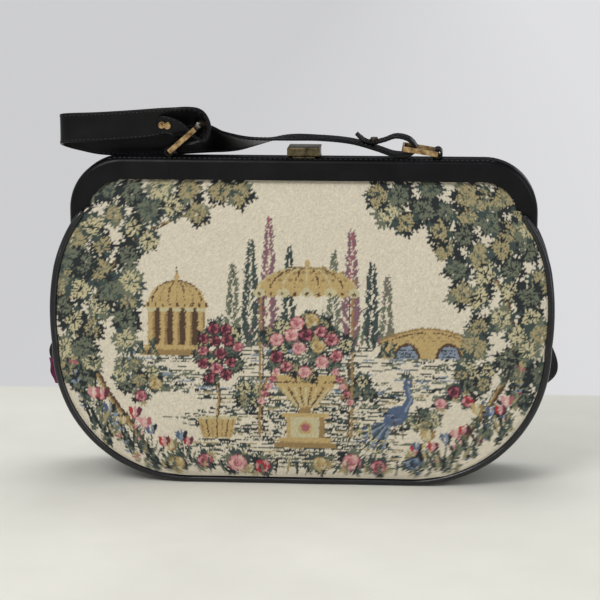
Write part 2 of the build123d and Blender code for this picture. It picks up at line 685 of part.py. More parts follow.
def build():
    """Every piece by name."""
    panel = back_panel()
    piping = back_piping()
    board = back_board()
    cover = back_cover()
    back_ear = EAR_X + EAR_THICKNESS + EAR_GAP
    back_steel = back_channel(back_ear) - pin_hole(PIN_RADIUS)
    front_steel = rear(back_channel(EAR_X)) - pin_hole(PIN_RADIUS + PIN_CLEARANCE)
    pin = hinge_pin()
    strap = handle_strap()
    strap = strap - shank_hole(left_stud_place(), LEFT_GRIP)
    strap = strap - shank_hole(right_stud_place(), RIGHT_GRIP)
    return {
        "front_panel": rear(panel),
        "back_panel": panel,
        "gusset": gusset(),
        "front_piping": rear(piping),
        "back_piping": piping,
        "front_board": rear(board),
        "back_board": board,
        "base_board": base_board(),
        "lining": lining(),
        "lining_peek": peek_shape(),
        "front_frame_channel": front_steel,
        "back_frame_channel": back_steel,
        "front_frame_cover": rear(cover),
        "back_frame_cover": cover,
        "left_hinge_pin": mirrored(pin),
        "right_hinge_pin": pin,
        "clasp_base": clasp_base(),
        "clasp_pin": clasp_pin(),
        "clasp_spring": clasp_spring(),
        "clasp_lever": clasp_lid(),
        "clasp_catch": clasp_catch(),
        "left_chape": chape(LEFT_RING_X),
        "right_chape": chape(RIGHT_RING_X),
        "left_ring": ring(LEFT_RING_X, LEFT_RING_LEAN),
        "right_ring": ring(RIGHT_RING_X, RIGHT_RING_LEAN),
        "handle_strap": strap,
        "left_stud": stud(left_stud_place(), LEFT_GRIP),
        "right_stud": stud(right_stud_place(), RIGHT_GRIP),
    }


def main():
    os.makedirs("parts", exist_ok=True)
    for name, shape in build().items():
        export_step(shape, f"parts/{name}.step")


if __name__ == "__main__":
    main()
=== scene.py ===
"""Looks of a tapestry handbag: woven picture panels, black leather, aged brass and a loose strap."""

from math import cos, pi, radians, sin

import bpy
import numpy as np
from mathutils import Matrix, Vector


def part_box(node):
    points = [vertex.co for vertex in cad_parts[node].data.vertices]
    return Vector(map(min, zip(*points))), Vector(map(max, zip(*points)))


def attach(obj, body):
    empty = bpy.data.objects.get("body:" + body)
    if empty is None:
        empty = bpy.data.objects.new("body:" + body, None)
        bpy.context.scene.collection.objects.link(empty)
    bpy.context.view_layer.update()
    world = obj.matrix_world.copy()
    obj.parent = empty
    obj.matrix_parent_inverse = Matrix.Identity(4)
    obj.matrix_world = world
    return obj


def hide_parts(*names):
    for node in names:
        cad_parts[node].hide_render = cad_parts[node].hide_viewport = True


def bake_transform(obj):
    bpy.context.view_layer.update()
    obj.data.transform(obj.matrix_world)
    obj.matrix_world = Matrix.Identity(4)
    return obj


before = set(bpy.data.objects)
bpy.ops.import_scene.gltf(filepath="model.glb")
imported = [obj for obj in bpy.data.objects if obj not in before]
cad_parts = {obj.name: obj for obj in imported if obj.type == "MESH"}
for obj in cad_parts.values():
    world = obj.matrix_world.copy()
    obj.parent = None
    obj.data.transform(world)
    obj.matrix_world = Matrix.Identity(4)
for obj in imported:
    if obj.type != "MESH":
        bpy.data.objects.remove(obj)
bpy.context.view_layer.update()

MM = 0.001

# Body, in millimetres, as in the solids
BASE_HALF_WIDTH = 74.0
CORNER_MID = (128.0, 17.0)
CORNER_END = (168.5, 94.5)
SIDE_MID = (170.2, 118.0)
SIDE_END = (168.0, 146.0)
SHOULDER_MID = (162.0, 165.0)
SHOULDER_END = (150.5, 184.0)
NECK = (147.1, 192.0)
HALF_DEPTH = [
    (0.0, 33.0), (20.0, 36.0), (60.0, 35.2), (100.0, 31.2),
    (138.0, 25.0), (168.0, 18.8), (190.0, 14.6), (204.4, 8.2),
]
PIPING = 4.2
PIPING_RADIUS = 2.4
PIPING_TOP = 186.5
PANEL_SINK = 0.9
PANEL_TOP = 208.0
PANEL_UNDER_PIPING = 1.6

# Gusset: how far it lies inside the outline and the depth, and where its tucked-in edge ends
GUSSET_INSET = 0.6
GUSSET_DEPTH_INSET = 2.8
GUSSET_TOP = 162.0
GUSSET_TUCK = (144.0, 151.0)

# Gusset's folds: where they start and end, then the height and reach of each one's peak
FOLD_LOW = 58.0
FOLD_HIGH = 100.0
FOLD_HALF_DEPTH = 7.5
LEFT_FOLD = (83.0, 9.6)
RIGHT_FOLD = (76.5, 8.6)

# Gusset's inward crease: where it starts and is deepest, where it ends, its depth and reach to each side
CREASE_RISE = (102.0, 150.0)
CREASE_FADE = (157.0, 162.0)
CREASE_DEPTH = 6.0
CREASE_REACH = 6.5

# Lining, and the scrap of it at the left fold
LINING_INSET = 4.2
LINING_DEPTH_INSET = 4.6
LINING_TOP = 206.0
LINING_MOUTH_HALF_WIDTH = 140.6
LINING_SIDE_INSET = 4.7
LINING_SIDE_DEPTH_INSET = 4.9
LINING_SIDE_TOP = 150.0
LINING_TUCK = (140.8, 147.0)
SCRAP_DROP = 2.5
SCRAP_HALF_THICKNESS = 0.55

# Frame
FRAME_HALF_WIDTH = 158.5
FRAME_TOP = 220.0
FRAME_CORNER_RADIUS = 36.0
FRAME_BAND = 15.0
FRAME_HALF_DEPTH = 11.0
FRAME_EDGE_RADIUS = 4.0
SEAM_X = -89.8
SEAM_LENGTH = 10.6

# Stitches on the frame: how far round the edge they sit, and where the edge starts to drop and how fast
FRAME_STITCH_TILT = 58.0
FRAME_DROP_FROM = 122.5
FRAME_DROP = 0.013

# Stitches: distance between two, length and radius
STRAP_STITCHES = (2.9, 1.8, 0.26)
FRAME_STITCHES = (3.4, 2.6, 0.30)

# Strap: x, y, z, turn of its width in the YZ plane in degrees, and width. At the fold round
# the left ring its width also turns about the strap's own run.
FOLD_STATIONS = (4, 6)
FOLD_TWIST = 15.0
STRAP_WIDTH = 20.0
TONGUE_WIDTH = 12.0
STRAP_THICKNESS = 2.2
STRAP_ROUTE = [
    (-97.5, -7.4, 242.3, -90.0, 7.0),
    (-95.0, -7.6, 242.0, -90.0, TONGUE_WIDTH),
    (-86.0, -8.0, 240.0, -76.0, TONGUE_WIDTH),
    (-76.5, -3.2, 231.6, -38.0, 15.0),
    (-68.5, -0.4, 231.2, -6.0, 18.0),
    (-64.8, 0.0, 239.0, -6.0, STRAP_WIDTH),
    (-69.5, -0.8, 246.0, -20.0, STRAP_WIDTH),
    (-78.0, -2.0, 246.6, -42.0, STRAP_WIDTH),
    (-90.0, -3.5, 244.2, -64.0, STRAP_WIDTH),
    (-110.0, -4.6, 241.8, -82.0, STRAP_WIDTH),
    (-137.0, -5.0, 239.8, -88.0, STRAP_WIDTH),
    (-155.0, -4.6, 239.0, -90.0, STRAP_WIDTH),
    (-163.0, -1.0, 238.0, -90.0, STRAP_WIDTH),
    (-164.8, 4.6, 236.4, -90.0, STRAP_WIDTH),
    (-162.0, 10.2, 234.2, -90.0, STRAP_WIDTH),
    (-153.0, 14.0, 231.0, -90.0, STRAP_WIDTH),
    (-135.0, 15.0, 227.8, -90.0, STRAP_WIDTH),
    (-100.0, 15.6, 228.0, -90.0, STRAP_WIDTH),
    (-71.0, 15.6, 230.0, -88.0, 20.5),
    (-54.0, 11.4, 228.4, -60.0, 16.5),
    (-36.0, 4.8, 229.6, -24.0, 17.5),
    (-12.0, 0.5, 232.8, 0.0, 19.0),
    (12.0, 0.0, 232.8, 0.0, STRAP_WIDTH),
    (33.0, 0.0, 230.8, 0.0, STRAP_WIDTH),
    (50.0, 0.0, 226.2, 0.0, STRAP_WIDTH),
    (61.0, 0.0, 222.6, 0.0, STRAP_WIDTH),
    (71.0, 0.0, 222.5, 0.0, STRAP_WIDTH),
    (76.0, 0.0, 226.8, 0.0, STRAP_WIDTH),
    (71.5, 0.0, 232.6, 0.0, 18.0),
    (63.0, 0.0, 234.6, 0.0, 15.0),
    (55.0, 0.0, 232.0, 0.0, TONGUE_WIDTH),
    (48.0, 0.0, 230.3, 0.0, TONGUE_WIDTH),
    (42.0, 0.0, 231.2, 0.0, TONGUE_WIDTH),
    (36.0, 0.0, 236.2, 0.0, 7.0),
]

# Picture: size of the cloth that is painted, and how far apart its points lie on a panel
CLOTH_HALF_WIDTH = 172.0
CLOTH_HEIGHT = 214.0
CLOTH_PITCH = 0.4
CELL_ACROSS = 0.80
CELL_UP = 0.88
CLOTH_TONE = 0.90

# Colours as they look on screen, 0 to 255
CREAM = (222, 212, 191)
SLATE = (41, 46, 47)
TEAL = (65, 77, 73)
SAGE = (109, 114, 96)
KHAKI = (165, 152, 114)
STRAW = (196, 186, 148)
OCHRE = (190, 164, 112)
TAN = (152, 126, 84)
ROSE = (168, 98, 104)
PLUM = (104, 52, 64)
DEEP_PLUM = (66, 36, 46)
PINK = (204, 148, 148)
BLUSH = (214, 178, 166)
RED = (172, 58, 60)
BLUE = (84, 100, 126)
PALE_BLUE = (134, 146, 160)
MAUVE = (128, 98, 106)
BROWN = (86, 66, 50)

# The lining's colours, scene-linear
LINING_DARK = (0.20, 0.012, 0.085)
LINING_LIGHT = (0.36, 0.03, 0.17)


def linear(colour):
    """A screen colour as scene-linear values."""
    share = np.asarray(colour, float) / 255
    return np.where(share <= 0.04045, share / 12.92, ((share + 0.055) / 1.055) ** 2.4)


# Shapes of the body

def arc(a, b, c, count):
    """Points on the circle through three points, from the first to the last."""
    a, b, c = (np.array(p, float) for p in (a, b, c))
    rows = 2 * np.array([b - a, c - a])
    centre = np.linalg.solve(rows, [b @ b - a @ a, c @ c - a @ a])
    radius = np.linalg.norm(a - centre)
    angles = [np.arctan2(*(p - centre)[::-1]) for p in (a, b, c)]
    turn = np.unwrap(angles)
    sweep = np.linspace(turn[0], turn[2], count)
    return centre + radius * np.stack([np.cos(sweep), np.sin(sweep)], axis=1)


SIDE = np.concatenate([
    arc((BASE_HALF_WIDTH, 0), CORNER_MID, CORNER_END, 90),
    arc(CORNER_END, SIDE_MID, SIDE_END, 24)[1:],
    arc(SIDE_END, SHOULDER_MID, SHOULDER_END, 24)[1:],
    np.array([NECK]),
])


def unit(rows):
    """Each row as a direction of length 1."""
    return rows / np.linalg.norm(rows, axis=1)[:, None]


def run_along(path):
    """The distance from the start of a path to each of its points."""
    return np.concatenate([[0], np.cumsum(np.linalg.norm(np.diff(path, axis=0), axis=1))])


def side_line(inset):
    """The right side of the outline from the base up, drawn in by an inset."""
    step = np.gradient(SIDE, axis=0)
    step[0] = (1, 0)
    return SIDE + unit(np.stack([-step[:, 1], step[:, 0]], axis=1)) * inset


def spline(knots):
    """A natural cubic through points, as a function."""
    x, y = np.array(knots).T
    n = len(x)
    gap = np.diff(x)
    slope = np.diff(y) / gap
    matrix = np.eye(n)
    right = np.zeros(n)
    for i in range(1, n - 1):
        matrix[i, i - 1:i + 2] = gap[i - 1], 2 * (gap[i - 1] + gap[i]), gap[i]
        right[i] = 6 * (slope[i] - slope[i - 1])
    bend = np.linalg.solve(matrix, right)

    def value(at):
        at = np.clip(at, x[0], x[-1])
        i = np.clip(np.searchsorted(x, at) - 1, 0, n - 2)
        low, high = at - x[i], x[i + 1] - at
        h = gap[i]
        curve = (bend[i] * high**3 + bend[i + 1] * low**3) / (6 * h)
        return curve + (y[i] / h - bend[i] * h / 6) * high + (y[i + 1] / h - bend[i + 1] * h / 6) * low

    return value


half_depth = spline(HALF_DEPTH)


def smooth(low, high, value):
    """0 below low, 1 above high and an easy slope between."""
    t = np.clip((value - low) / (high - low), 0, 1)
    return t * t * (3 - 2 * t)


def panel_half_width(z, inset):
    """Half the panel's width at a height, inside the piping and the frame's arch."""
    side = side_line(inset)
    width = np.interp(z, side[:, 1], side[:, 0])
    radius = FRAME_CORNER_RADIUS - FRAME_BAND + 0.6
    centre_x = FRAME_HALF_WIDTH - FRAME_CORNER_RADIUS
    centre_z = FRAME_TOP - FRAME_CORNER_RADIUS
    rise = np.clip(z - centre_z, 0, radius)
    opening = centre_x + np.sqrt(radius**2 - rise**2)
    return np.where(z > centre_z + 2, np.minimum(width, opening), width)


def spread(width, z, columns):
    """Sideways places and heights of a sheet whose half width changes with its height."""
    x = width[:, None] * np.linspace(-1, 1, columns)[None, :]
    return x, np.repeat(z[:, None], columns, axis=1)


# Meshes

def add(name, data):
    """A new object in the scene."""
    made = bpy.data.objects.new(name, data)
    bpy.context.scene.collection.objects.link(made)
    return made


def add_mesh(name, verts, faces):
    """A smooth piece from its corners, in metres, and its faces."""
    mesh = bpy.data.meshes.new(name)
    mesh.from_pydata(verts, [], faces)
    mesh.polygons.foreach_set("use_smooth", [True] * len(mesh.polygons))
    mesh.update()
    return add(name, mesh)


def grid(name, points, uv=None, closed=False, flip=False):
    """A sheet over rows and columns of points in millimetres, or a tube with filled ends."""
    rows, cols = points.shape[:2]
    index = np.arange(rows * cols).reshape(rows, cols)
    ends = []
    if closed:
        ends = [index[0].tolist(), index[-1, ::-1].tolist()]
        index = np.concatenate([index, index[:, :1]], axis=1)
    corners = [index[:-1, :-1], index[:-1, 1:], index[1:, 1:], index[1:, :-1]]
    quads = np.stack(corners, axis=-1).reshape(-1, 4)
    if flip:
        quads = quads[:, ::-1]
    piece = add_mesh(name, (points.reshape(-1, 3) * MM).tolist(), quads.tolist() + ends)
    if uv is not None:
        layer = piece.data.uv_layers.new(name="threads")
        layer.data.foreach_set("uv", uv.reshape(-1, 2)[quads.reshape(-1)].reshape(-1))
    return piece


def tube(name, path, radius, sides=14):
    """A round cord along a path of points in millimetres, drawn in at its ends."""
    path = np.asarray(path, float)
    along = unit(np.gradient(path, axis=0))
    side = unit(np.cross(along, (0, 1, 0)))
    up = np.cross(side, along)
    turn = np.linspace(0, 2 * pi, sides, endpoint=False)
    size = np.full(len(path), radius)
    size[0] = size[-1] = radius * 0.55
    ring = np.cos(turn)[None, :, None] * side[:, None] + np.sin(turn)[None, :, None] * up[:, None]
    return grid(name, path[:, None] + ring * size[:, None, None], closed=True)


def join(name, pieces):
    """Several meshes as one piece."""
    verts, faces = [], []
    for piece in pieces:
        start = len(verts)
        verts += [v.co.copy() for v in piece.data.vertices]
        faces += [tuple(start + i for i in p.vertices) for p in piece.data.polygons]
        bpy.data.objects.remove(piece)
    return add_mesh(name, verts, faces)


def stitches(name, places, length, radius):
    """Short thread stitches. Each place is a centre, a direction along and a direction out."""
    sides = 6
    ring = [(cos(a), sin(a)) for a in np.linspace(0, 2 * pi, sides, endpoint=False)]
    rise = [(-0.5, 0.15, -0.5), (-0.38, 0.8, 0.1), (0.0, 1.0, 0.45)]
    stations = rise + [(-place, size, lift) for place, size, lift in rise[1::-1]]
    verts, faces = [], []
    for centre, along, out in places:
        side = np.cross(along, out)
        start = len(verts)
        for place, size, lift in stations:
            for c, s in ring:
                offset = side * c * radius * size + out * (s * radius * size + lift * radius)
                verts.append(tuple((centre + along * place * length + offset) * MM))
        for i in range(len(stations) - 1):
            for j in range(sides):
                a, b = (start + i * sides + k % sides for k in (j, j + 1))
                faces.append((a, b, b + sides, a + sides))
    return add_mesh(name, verts, faces)


# Materials

class Shader:
    """A material with short calls for its nodes."""

    def __init__(self, name):
        self.material = bpy.data.materials.new(name)
        self.material.use_nodes = True
        self.tree = self.material.node_tree
        self.surface = self.tree.nodes["Principled BSDF"]

    def feed(self, socket, value):
        if isinstance(value, bpy.types.NodeSocket):
            self.tree.links.new(value, socket)
        else:
            socket.default_value = value

    def node(self, kind, inputs=None, **settings):
        made = self.tree.nodes.new(kind)
        for key, value in settings.items():
            setattr(made, key, value)
        for key, value in (inputs or {}).items():
            self.feed(made.inputs[key], value)
        return made

    def set(self, **sockets):
        for key, value in sockets.items():
            self.feed(self.surface.inputs[key.replace("_", " ")], value)

    def ramp(self, factor, stops):
        made = self.node("ShaderNodeValToRGB", {"Fac": factor})
        band = made.color_ramp
        while len(band.elements) < len(stops):
            band.elements.new(0.5)
        for element, (place, colour) in zip(band.elements, stops):
            element.position = place
            element.color = (*colour, 1)
        return made.outputs["Color"]

    def noise(self, coords, scale, detail=3.0, rough=0.55):
        inputs = {"Vector": coords, "Scale": scale, "Detail": detail, "Roughness": rough}
        return self.node("ShaderNodeTexNoise", inputs).outputs["Fac"]

    def span(self, value, low, high, start=0.0, end=1.0):
        """Carries start to low and end to high."""
        inputs = {"Value": value, "From Min": start, "From Max": end, "To Min": low, "To Max": high}
        return self.node("ShaderNodeMapRange", inputs).outputs["Result"]

    def axis(self, vector, name):
        return self.node("ShaderNodeSeparateXYZ", {"Vector": vector}).outputs[name]

    def stretch(self, vector, scale):
        return self.node("ShaderNodeMapping", {"Vector": vector, "Scale": scale}).outputs["Vector"]

    def bump(self, height, strength, distance, below=None):
        inputs = {"Height": height, "Strength": strength, "Distance": distance}
        if below is not None:
            inputs["Normal"] = below
        return self.node("ShaderNodeBump", inputs).outputs["Normal"]

    def place(self, kind="Object"):
        return self.node("ShaderNodeTexCoord").outputs[kind]


def leather(name, dark, light, rough, grain, crease=0.0006, shine=0.14, coat=0.04):
    """Black leather: mottled colour, fine grain, soft creases and an uneven shine."""
    s = Shader(name)
    at = s.place()
    mottle = s.noise(at, 55, 4)
    s.set(Base_Color=s.ramp(mottle, [(0.35, dark), (0.72, light)]))
    cells = s.node("ShaderNodeTexVoronoi", {"Vector": at, "Scale": 1 / grain}, feature="SMOOTH_F1")
    folds = s.noise(at, 90, 3, 0.6)
    low = s.bump(folds, 0.5, crease)
    s.set(Normal=s.bump(cells.outputs["Distance"], 0.35, grain * 0.22, low))
    s.set(Roughness=s.span(s.noise(at, 140, 2), rough - 0.08, rough + 0.14))
    # Dust lies on what faces up, so it shines less there.
    lie = s.axis(s.node("ShaderNodeNewGeometry").outputs["Normal"], "Z")
    s.set(Specular_IOR_Level=s.span(lie, shine, 0.002, 0.45, 0.85))
    s.set(Coat_Weight=s.span(lie, coat, 0.0, 0.45, 0.85), Coat_Roughness=0.16)
    return s.material


def brass(name, bright, dark, rough):
    """Aged brass: worn bright areas, brown tarnish and fine scratches."""
    s = Shader(name)
    at = s.place()
    patches = s.noise(at, 230, 5, 0.65)
    s.set(Base_Color=s.ramp(patches, [(0.36, dark), (0.62, bright)]))
    s.set(Roughness=s.span(s.noise(at, 420, 3), rough - 0.08, rough + 0.22))
    scratches = s.noise(s.stretch(at, (1.0, 14.0, 14.0)), 260, 3)
    s.set(Normal=s.bump(scratches, 0.25, 0.00012))
    s.set(Metallic=1.0)
    return s.material


def steel(name):
    s = Shader(name)
    at = s.place()
    s.set(Base_Color=s.ramp(s.noise(at, 150, 4), [(0.3, (0.22, 0.2, 0.18)), (0.7, (0.48, 0.46, 0.43))]))
    s.set(Roughness=s.span(s.noise(at, 300, 2), 0.3, 0.5), Metallic=1.0)
    return s.material


def board(name):
    s = Shader(name)
    at = s.place()
    s.set(Base_Color=s.ramp(s.noise(at, 800, 3), [(0.3, (0.2, 0.17, 0.12)), (0.7, (0.34, 0.29, 0.21))]))
    s.set(Normal=s.bump(s.noise(at, 1500, 2), 0.3, 0.0002), Roughness=0.9)
    return s.material


def weave_height(s, threads, across, along):
    """Height of a plain weave from texture coordinates in millimetres."""
    waves = []
    for scale, axis in ((across, "X"), (along, "Y")):
        inputs = {"Vector": threads, "Scale": scale, "Distortion": 0.6, "Detail Scale": 2.0}
        made = s.node("ShaderNodeTexWave", inputs, wave_type="BANDS", bands_direction=axis)
        waves.append(made.outputs["Fac"])
    return s.node("ShaderNodeMath", dict(enumerate(waves)), operation="ADD").outputs["Value"]


def tapestry(name):
    """The woven picture: its colours come from the cells of the cloth, its ribs from bump."""
    s = Shader(name)
    picture = s.node("ShaderNodeAttribute", attribute_name="picture").outputs["Color"]
    threads = s.place("UV")
    shade = s.span(s.noise(s.stretch(threads, (0.25, 1.6, 1.0)), 1.4, 3), 0.86, 1.12)
    tint = s.node("ShaderNodeVectorMath", {0: picture, "Scale": shade}, operation="SCALE")
    s.set(Base_Color=tint.outputs["Vector"])
    height = weave_height(s, threads, 0.36, 0.30)
    fuzz = s.bump(s.noise(threads, 2.2, 2), 0.25, 0.0004)
    s.set(Normal=s.bump(height, 0.55, 0.00028, fuzz))
    s.set(Roughness=0.88, Sheen_Weight=0.12, Sheen_Roughness=0.5, Specular_IOR_Level=0.25)
    return s.material


def lining_cloth(name, tone=1.0):
    s = Shader(name)
    at = s.place()
    # A tone below 1 darkens the lining's colours as painted shade, as on the scrap.
    dark, light = (tuple(tone * part for part in colour) for colour in (LINING_DARK, LINING_LIGHT))
    s.set(Base_Color=s.ramp(s.noise(at, 60, 3), [(0.3, dark), (0.7, light)]))
    threads = s.stretch(at, (1 / MM,) * 3)
    s.set(Normal=s.bump(weave_height(s, threads, 0.5, 0.5), 0.4, 0.0002))
    s.set(Roughness=0.75, Sheen_Weight=0.2, Sheen_Roughness=0.4)
    return s.material


def thread(name, colour):
    s = Shader(name)
    at = s.place()
    s.set(Base_Color=s.ramp(s.noise(at, 90, 2), [(0.35, tuple(c * 0.55 for c in colour)), (0.65, colour)]))
    s.set(Normal=s.bump(s.noise(at, 3000, 2), 0.4, 0.0001), Roughness=0.7)
    return s.material


# The woven picture

class Cloth:
    """A sheet that the picture is drawn on, one coloured shape over another."""

    def __init__(self):
        self.x = np.arange(-CLOTH_HALF_WIDTH, CLOTH_HALF_WIDTH, CLOTH_PITCH)
        self.z = np.arange(0, CLOTH_HEIGHT, CLOTH_PITCH)
        self.colour = np.empty((len(self.z), len(self.x), 3))
        self.colour[:] = CREAM

    def window(self, x, z, reach_x, reach_z):
        """The part of the sheet round a point, with distances from that point."""
        left, right = np.searchsorted(self.x, (x - reach_x, x + reach_x))
        low, high = np.searchsorted(self.z, (z - reach_z, z + reach_z))
        part = self.colour[low:high, left:right]
        return part, self.x[None, left:right] - x, self.z[low:high, None] - z

    def ellipse(self, x, z, wide, tall, colour, turn=0.0):
        reach = max(wide, tall)
        part, dx, dz = self.window(x, z, reach, reach)
        c, s = cos(radians(turn)), sin(radians(turn))
        inside = ((dx * c + dz * s) / wide) ** 2 + ((dz * c - dx * s) / tall) ** 2 < 1
        part[inside] = colour

    def leaf(self, x, z, length, width, turn, colour):
        """A pointed leaf from its stalk at x, z."""
        part, dx, dz = self.window(x, z, length, length)
        c, s = cos(radians(turn)), sin(radians(turn))
        along = (dx * c + dz * s) / length
        across = (dz * c - dx * s) / width
        inside = (along > 0) & (along < 1) & (np.abs(across) < 1.6 * along**0.7 * (1 - along) ** 0.8)
        part[inside] = colour

    def polygon(self, points, colour):
        xs, zs = np.array(points, float).T
        middle = (xs.min() + xs.max()) / 2, (zs.min() + zs.max()) / 2
        part, dx, dz = self.window(*middle, np.ptp(xs) / 2 + 1, np.ptp(zs) / 2 + 1)
        px, pz = dx + middle[0], dz + middle[1]
        inside = np.zeros(part.shape[:2], bool)
        for i in range(len(xs)):
            x1, z1, x2, z2 = xs[i - 1], zs[i - 1], xs[i], zs[i]
            if z1 == z2:
                continue
            crosses = (z1 > pz) != (z2 > pz)
            inside ^= crosses & (px < (x2 - x1) * (pz - z1) / (z2 - z1) + x1)
        part[inside] = colour

    def box(self, x1, x2, z1, z2, colour):
        self.polygon([(x1, z1), (x2, z1), (x2, z2), (x1, z2)], colour)

    def stroke(self, points, width, colour, end_width=None):
        """A line with round ends that may taper."""
        points = np.array(points, float)
        end_width = width if end_width is None else end_width
        count = len(points) - 1
        for i in range(count):
            a, b = points[i], points[i + 1]
            r1 = (width + (end_width - width) * i / count) / 2
            middle, span = (a + b) / 2, np.abs(b - a) / 2 + r1 + 1
            part, dx, dz = self.window(*middle, *span)
            px, pz = dx + middle[0] - a[0], dz + middle[1] - a[1]
            step = b - a
            t = np.clip((px * step[0] + pz * step[1]) / max(step @ step, 1e-9), 0, 1)
            inside = (px - t * step[0]) ** 2 + (pz - t * step[1]) ** 2 < r1**2
            part[inside] = colour


def bow(x, z, wide, tall, end, count):
    """Points on an oval's edge, from its right side round to an angle."""
    return [(x + wide * cos(a), z + tall * sin(a)) for a in np.linspace(0, end, count)]


def lobed_leaf(cloth, x, z, length, turn, colour, vein=None):
    """A leaf with a middle lobe and two pairs of side lobes."""
    c, s = cos(radians(turn)), sin(radians(turn))
    cloth.leaf(x, z, length, length * 0.20, turn, colour)
    for share, size, spread in ((0.18, 0.55, 42), (0.42, 0.46, 38)):
        at = (x + c * length * share, z + s * length * share)
        for side in (-1, 1):
            cloth.leaf(*at, length * size, length * 0.14, turn + side * spread, colour)
    if vein is not None:
        cloth.stroke([(x, z), (x + c * length * 0.75, z + s * length * 0.75)], 0.7, vein)


# Dark, light and middle tone of a spray of leaves
LEAF_TONES = [
    (SLATE, KHAKI, TEAL),
    (TEAL, STRAW, SLATE),
    (SLATE, SAGE, TEAL),
    (TEAL, KHAKI, SAGE),
    (SLATE, KHAKI, SAGE),
    (SAGE, STRAW, TEAL),
    (SLATE, SAGE, SLATE),
]


def spray(cloth, rng, x, z, size, kinds=LEAF_TONES):
    """Dark lobed leaves in a ring, with a smaller ring of light ones over them."""
    dark, light, middle = kinds[rng.integers(len(kinds))]
    start = rng.uniform(0, 360)
    for i in range(6):
        turn = start + i * 60 + rng.uniform(-10, 10)
        lobed_leaf(cloth, x, z, size * rng.uniform(0.9, 1.15), turn, dark if i % 3 else middle)
    for i in range(5):
        turn = start + 30 + i * 72 + rng.uniform(-10, 10)
        lobed_leaf(cloth, x, z, size * rng.uniform(0.55, 0.85), turn, light, middle)


def scatter(rng, areas, spacing, tries=60):
    """Places inside a few ovals, no two closer than the spacing."""
    spots = []
    for x, z, wide, tall in areas:
        for _ in range(int(tries * wide * tall / spacing**2) + 10):
            r, a = rng.uniform(0, 1) ** 0.5, rng.uniform(0, 2 * pi)
            spot = (x + wide * r * cos(a), z + tall * r * sin(a))
            if all((spot[0] - p[0]) ** 2 + (spot[1] - p[1]) ** 2 > spacing**2 for p in spots):
                spots.append(spot)
    return spots


def branch(cloth, points, wide, end):
    """Bark: a dark stroke with a lit side."""
    cloth.stroke(points, wide, BROWN, end)
    cloth.stroke([(x - wide * 0.16, z) for x, z in points], wide * 0.5, TAN, end * 0.5)
    cloth.stroke([(x - wide * 0.3, z) for x, z in points], wide * 0.16, STRAW, end * 0.2)


def framing_tree(cloth, rng, side):
    """A tree at the edge: a forked trunk with a leafy crown that arches over the scene."""
    trunk = [(104, 22), (113, 38), (127, 56), (139, 76), (144, 100), (139, 126), (126, 150), (112, 166)]
    lines = [
        (trunk, 5.2, 2.2),
        ([(142, 86), (153, 104), (158, 126), (154, 146)], 3.2, 1.4),
        ([(126, 150), (108, 168), (84, 180), (58, 188)], 2.6, 1.0),
        ([(143, 108), (130, 114), (116, 114)], 2.0, 0.8),
    ]
    for line, wide, end in lines:
        branch(cloth, [(side * x, z) for x, z in line], wide, end)
    if side < 0:
        areas = [(-128, 174, 30, 26), (-150, 132, 16, 32), (-150, 88, 12, 22), (-88, 190, 30, 11),
                 (-54, 196, 14, 5), (-118, 130, 12, 12), (-116, 104, 8, 8)]
    else:
        areas = [(122, 170, 32, 28), (148, 128, 18, 34), (150, 84, 13, 22), (82, 188, 28, 12),
                 (52, 196, 12, 5), (112, 136, 11, 13), (118, 104, 9, 9)]
    for x, z in scatter(rng, areas, 12.0):
        spray(cloth, rng, x, z, rng.uniform(10.5, 13.5))


def cypress(cloth, rng, x, base, top, wide, dark, light):
    """A tall pointed tree, feathered at its edge."""
    for z in np.arange(base, top, 1.7):
        share = (z - base) / (top - base)
        half = wide * (1 - share) ** 0.65 * min(1.0, 0.45 + 3 * share)
        for side in (-1, 1):
            turn = 90 - side * rng.uniform(28, 48)
            at = x + side * half * rng.uniform(0, 0.45)
            cloth.leaf(at, z, half * 0.9 + 2.5, 1.0 + half * 0.10, turn, dark)
        cloth.leaf(x + half * rng.uniform(-0.6, 0.6), z, 4.5, 0.6, 90 + rng.uniform(-22, 22), light)


def hatching(cloth, rng, low, high, half, dense, colours, middle=0.0):
    """Level strokes of water or grass, thinner towards the ends."""
    for z in np.arange(low, high, 1.35):
        reach = half * (0.82 + 0.18 * sin(z * 0.31) + rng.uniform(-0.05, 0.05))
        x = middle - reach + rng.uniform(0, 6)
        while x < middle + reach:
            length = rng.uniform(2.5, 11)
            fade = 1 - 0.55 * (abs(x - middle) / half) ** 2
            if rng.uniform() < dense * fade:
                colour = colours[rng.integers(len(colours))]
                end = (x + length, z + rng.uniform(-0.25, 0.25))
                cloth.stroke([(x, z), end], rng.uniform(0.75, 1.25), colour)
            x += length + rng.uniform(0.8, 4.5)


def rotunda(cloth, x, z):
    """A small round garden temple with a dome on columns."""
    cloth.box(x - 25, x + 25, z, z + 4, TAN)
    cloth.box(x - 22, x + 22, z + 4, z + 7, OCHRE)
    cloth.box(x - 19, x + 19, z + 7, z + 32, BROWN)
    for i in range(5):
        at = x - 17 + i * 8.5
        cloth.box(at - 2.3, at + 2.3, z + 7, z + 32, OCHRE)
        cloth.box(at + 0.9, at + 2.3, z + 7, z + 32, TAN)
        cloth.box(at - 3.0, at + 3.0, z + 29.4, z + 32, STRAW)
    cloth.box(x - 21, x + 21, z + 32, z + 36, OCHRE)
    for i in range(9):
        cloth.box(x - 20 + i * 5, x - 18.6 + i * 5, z + 32.8, z + 35, BROWN)
    cloth.polygon(bow(x, z + 36, 19, 14, pi, 20), OCHRE)
    for i in range(-3, 4):
        cloth.stroke(bow(x, z + 36, i * 5.6, 14, pi / 2, 8), 0.7, BROWN if i % 2 else TAN)
    cloth.ellipse(x, z + 52, 1.8, 2.8, OCHRE)
    cloth.stroke([(x, z + 54), (x, z + 59)], 0.8, BROWN)


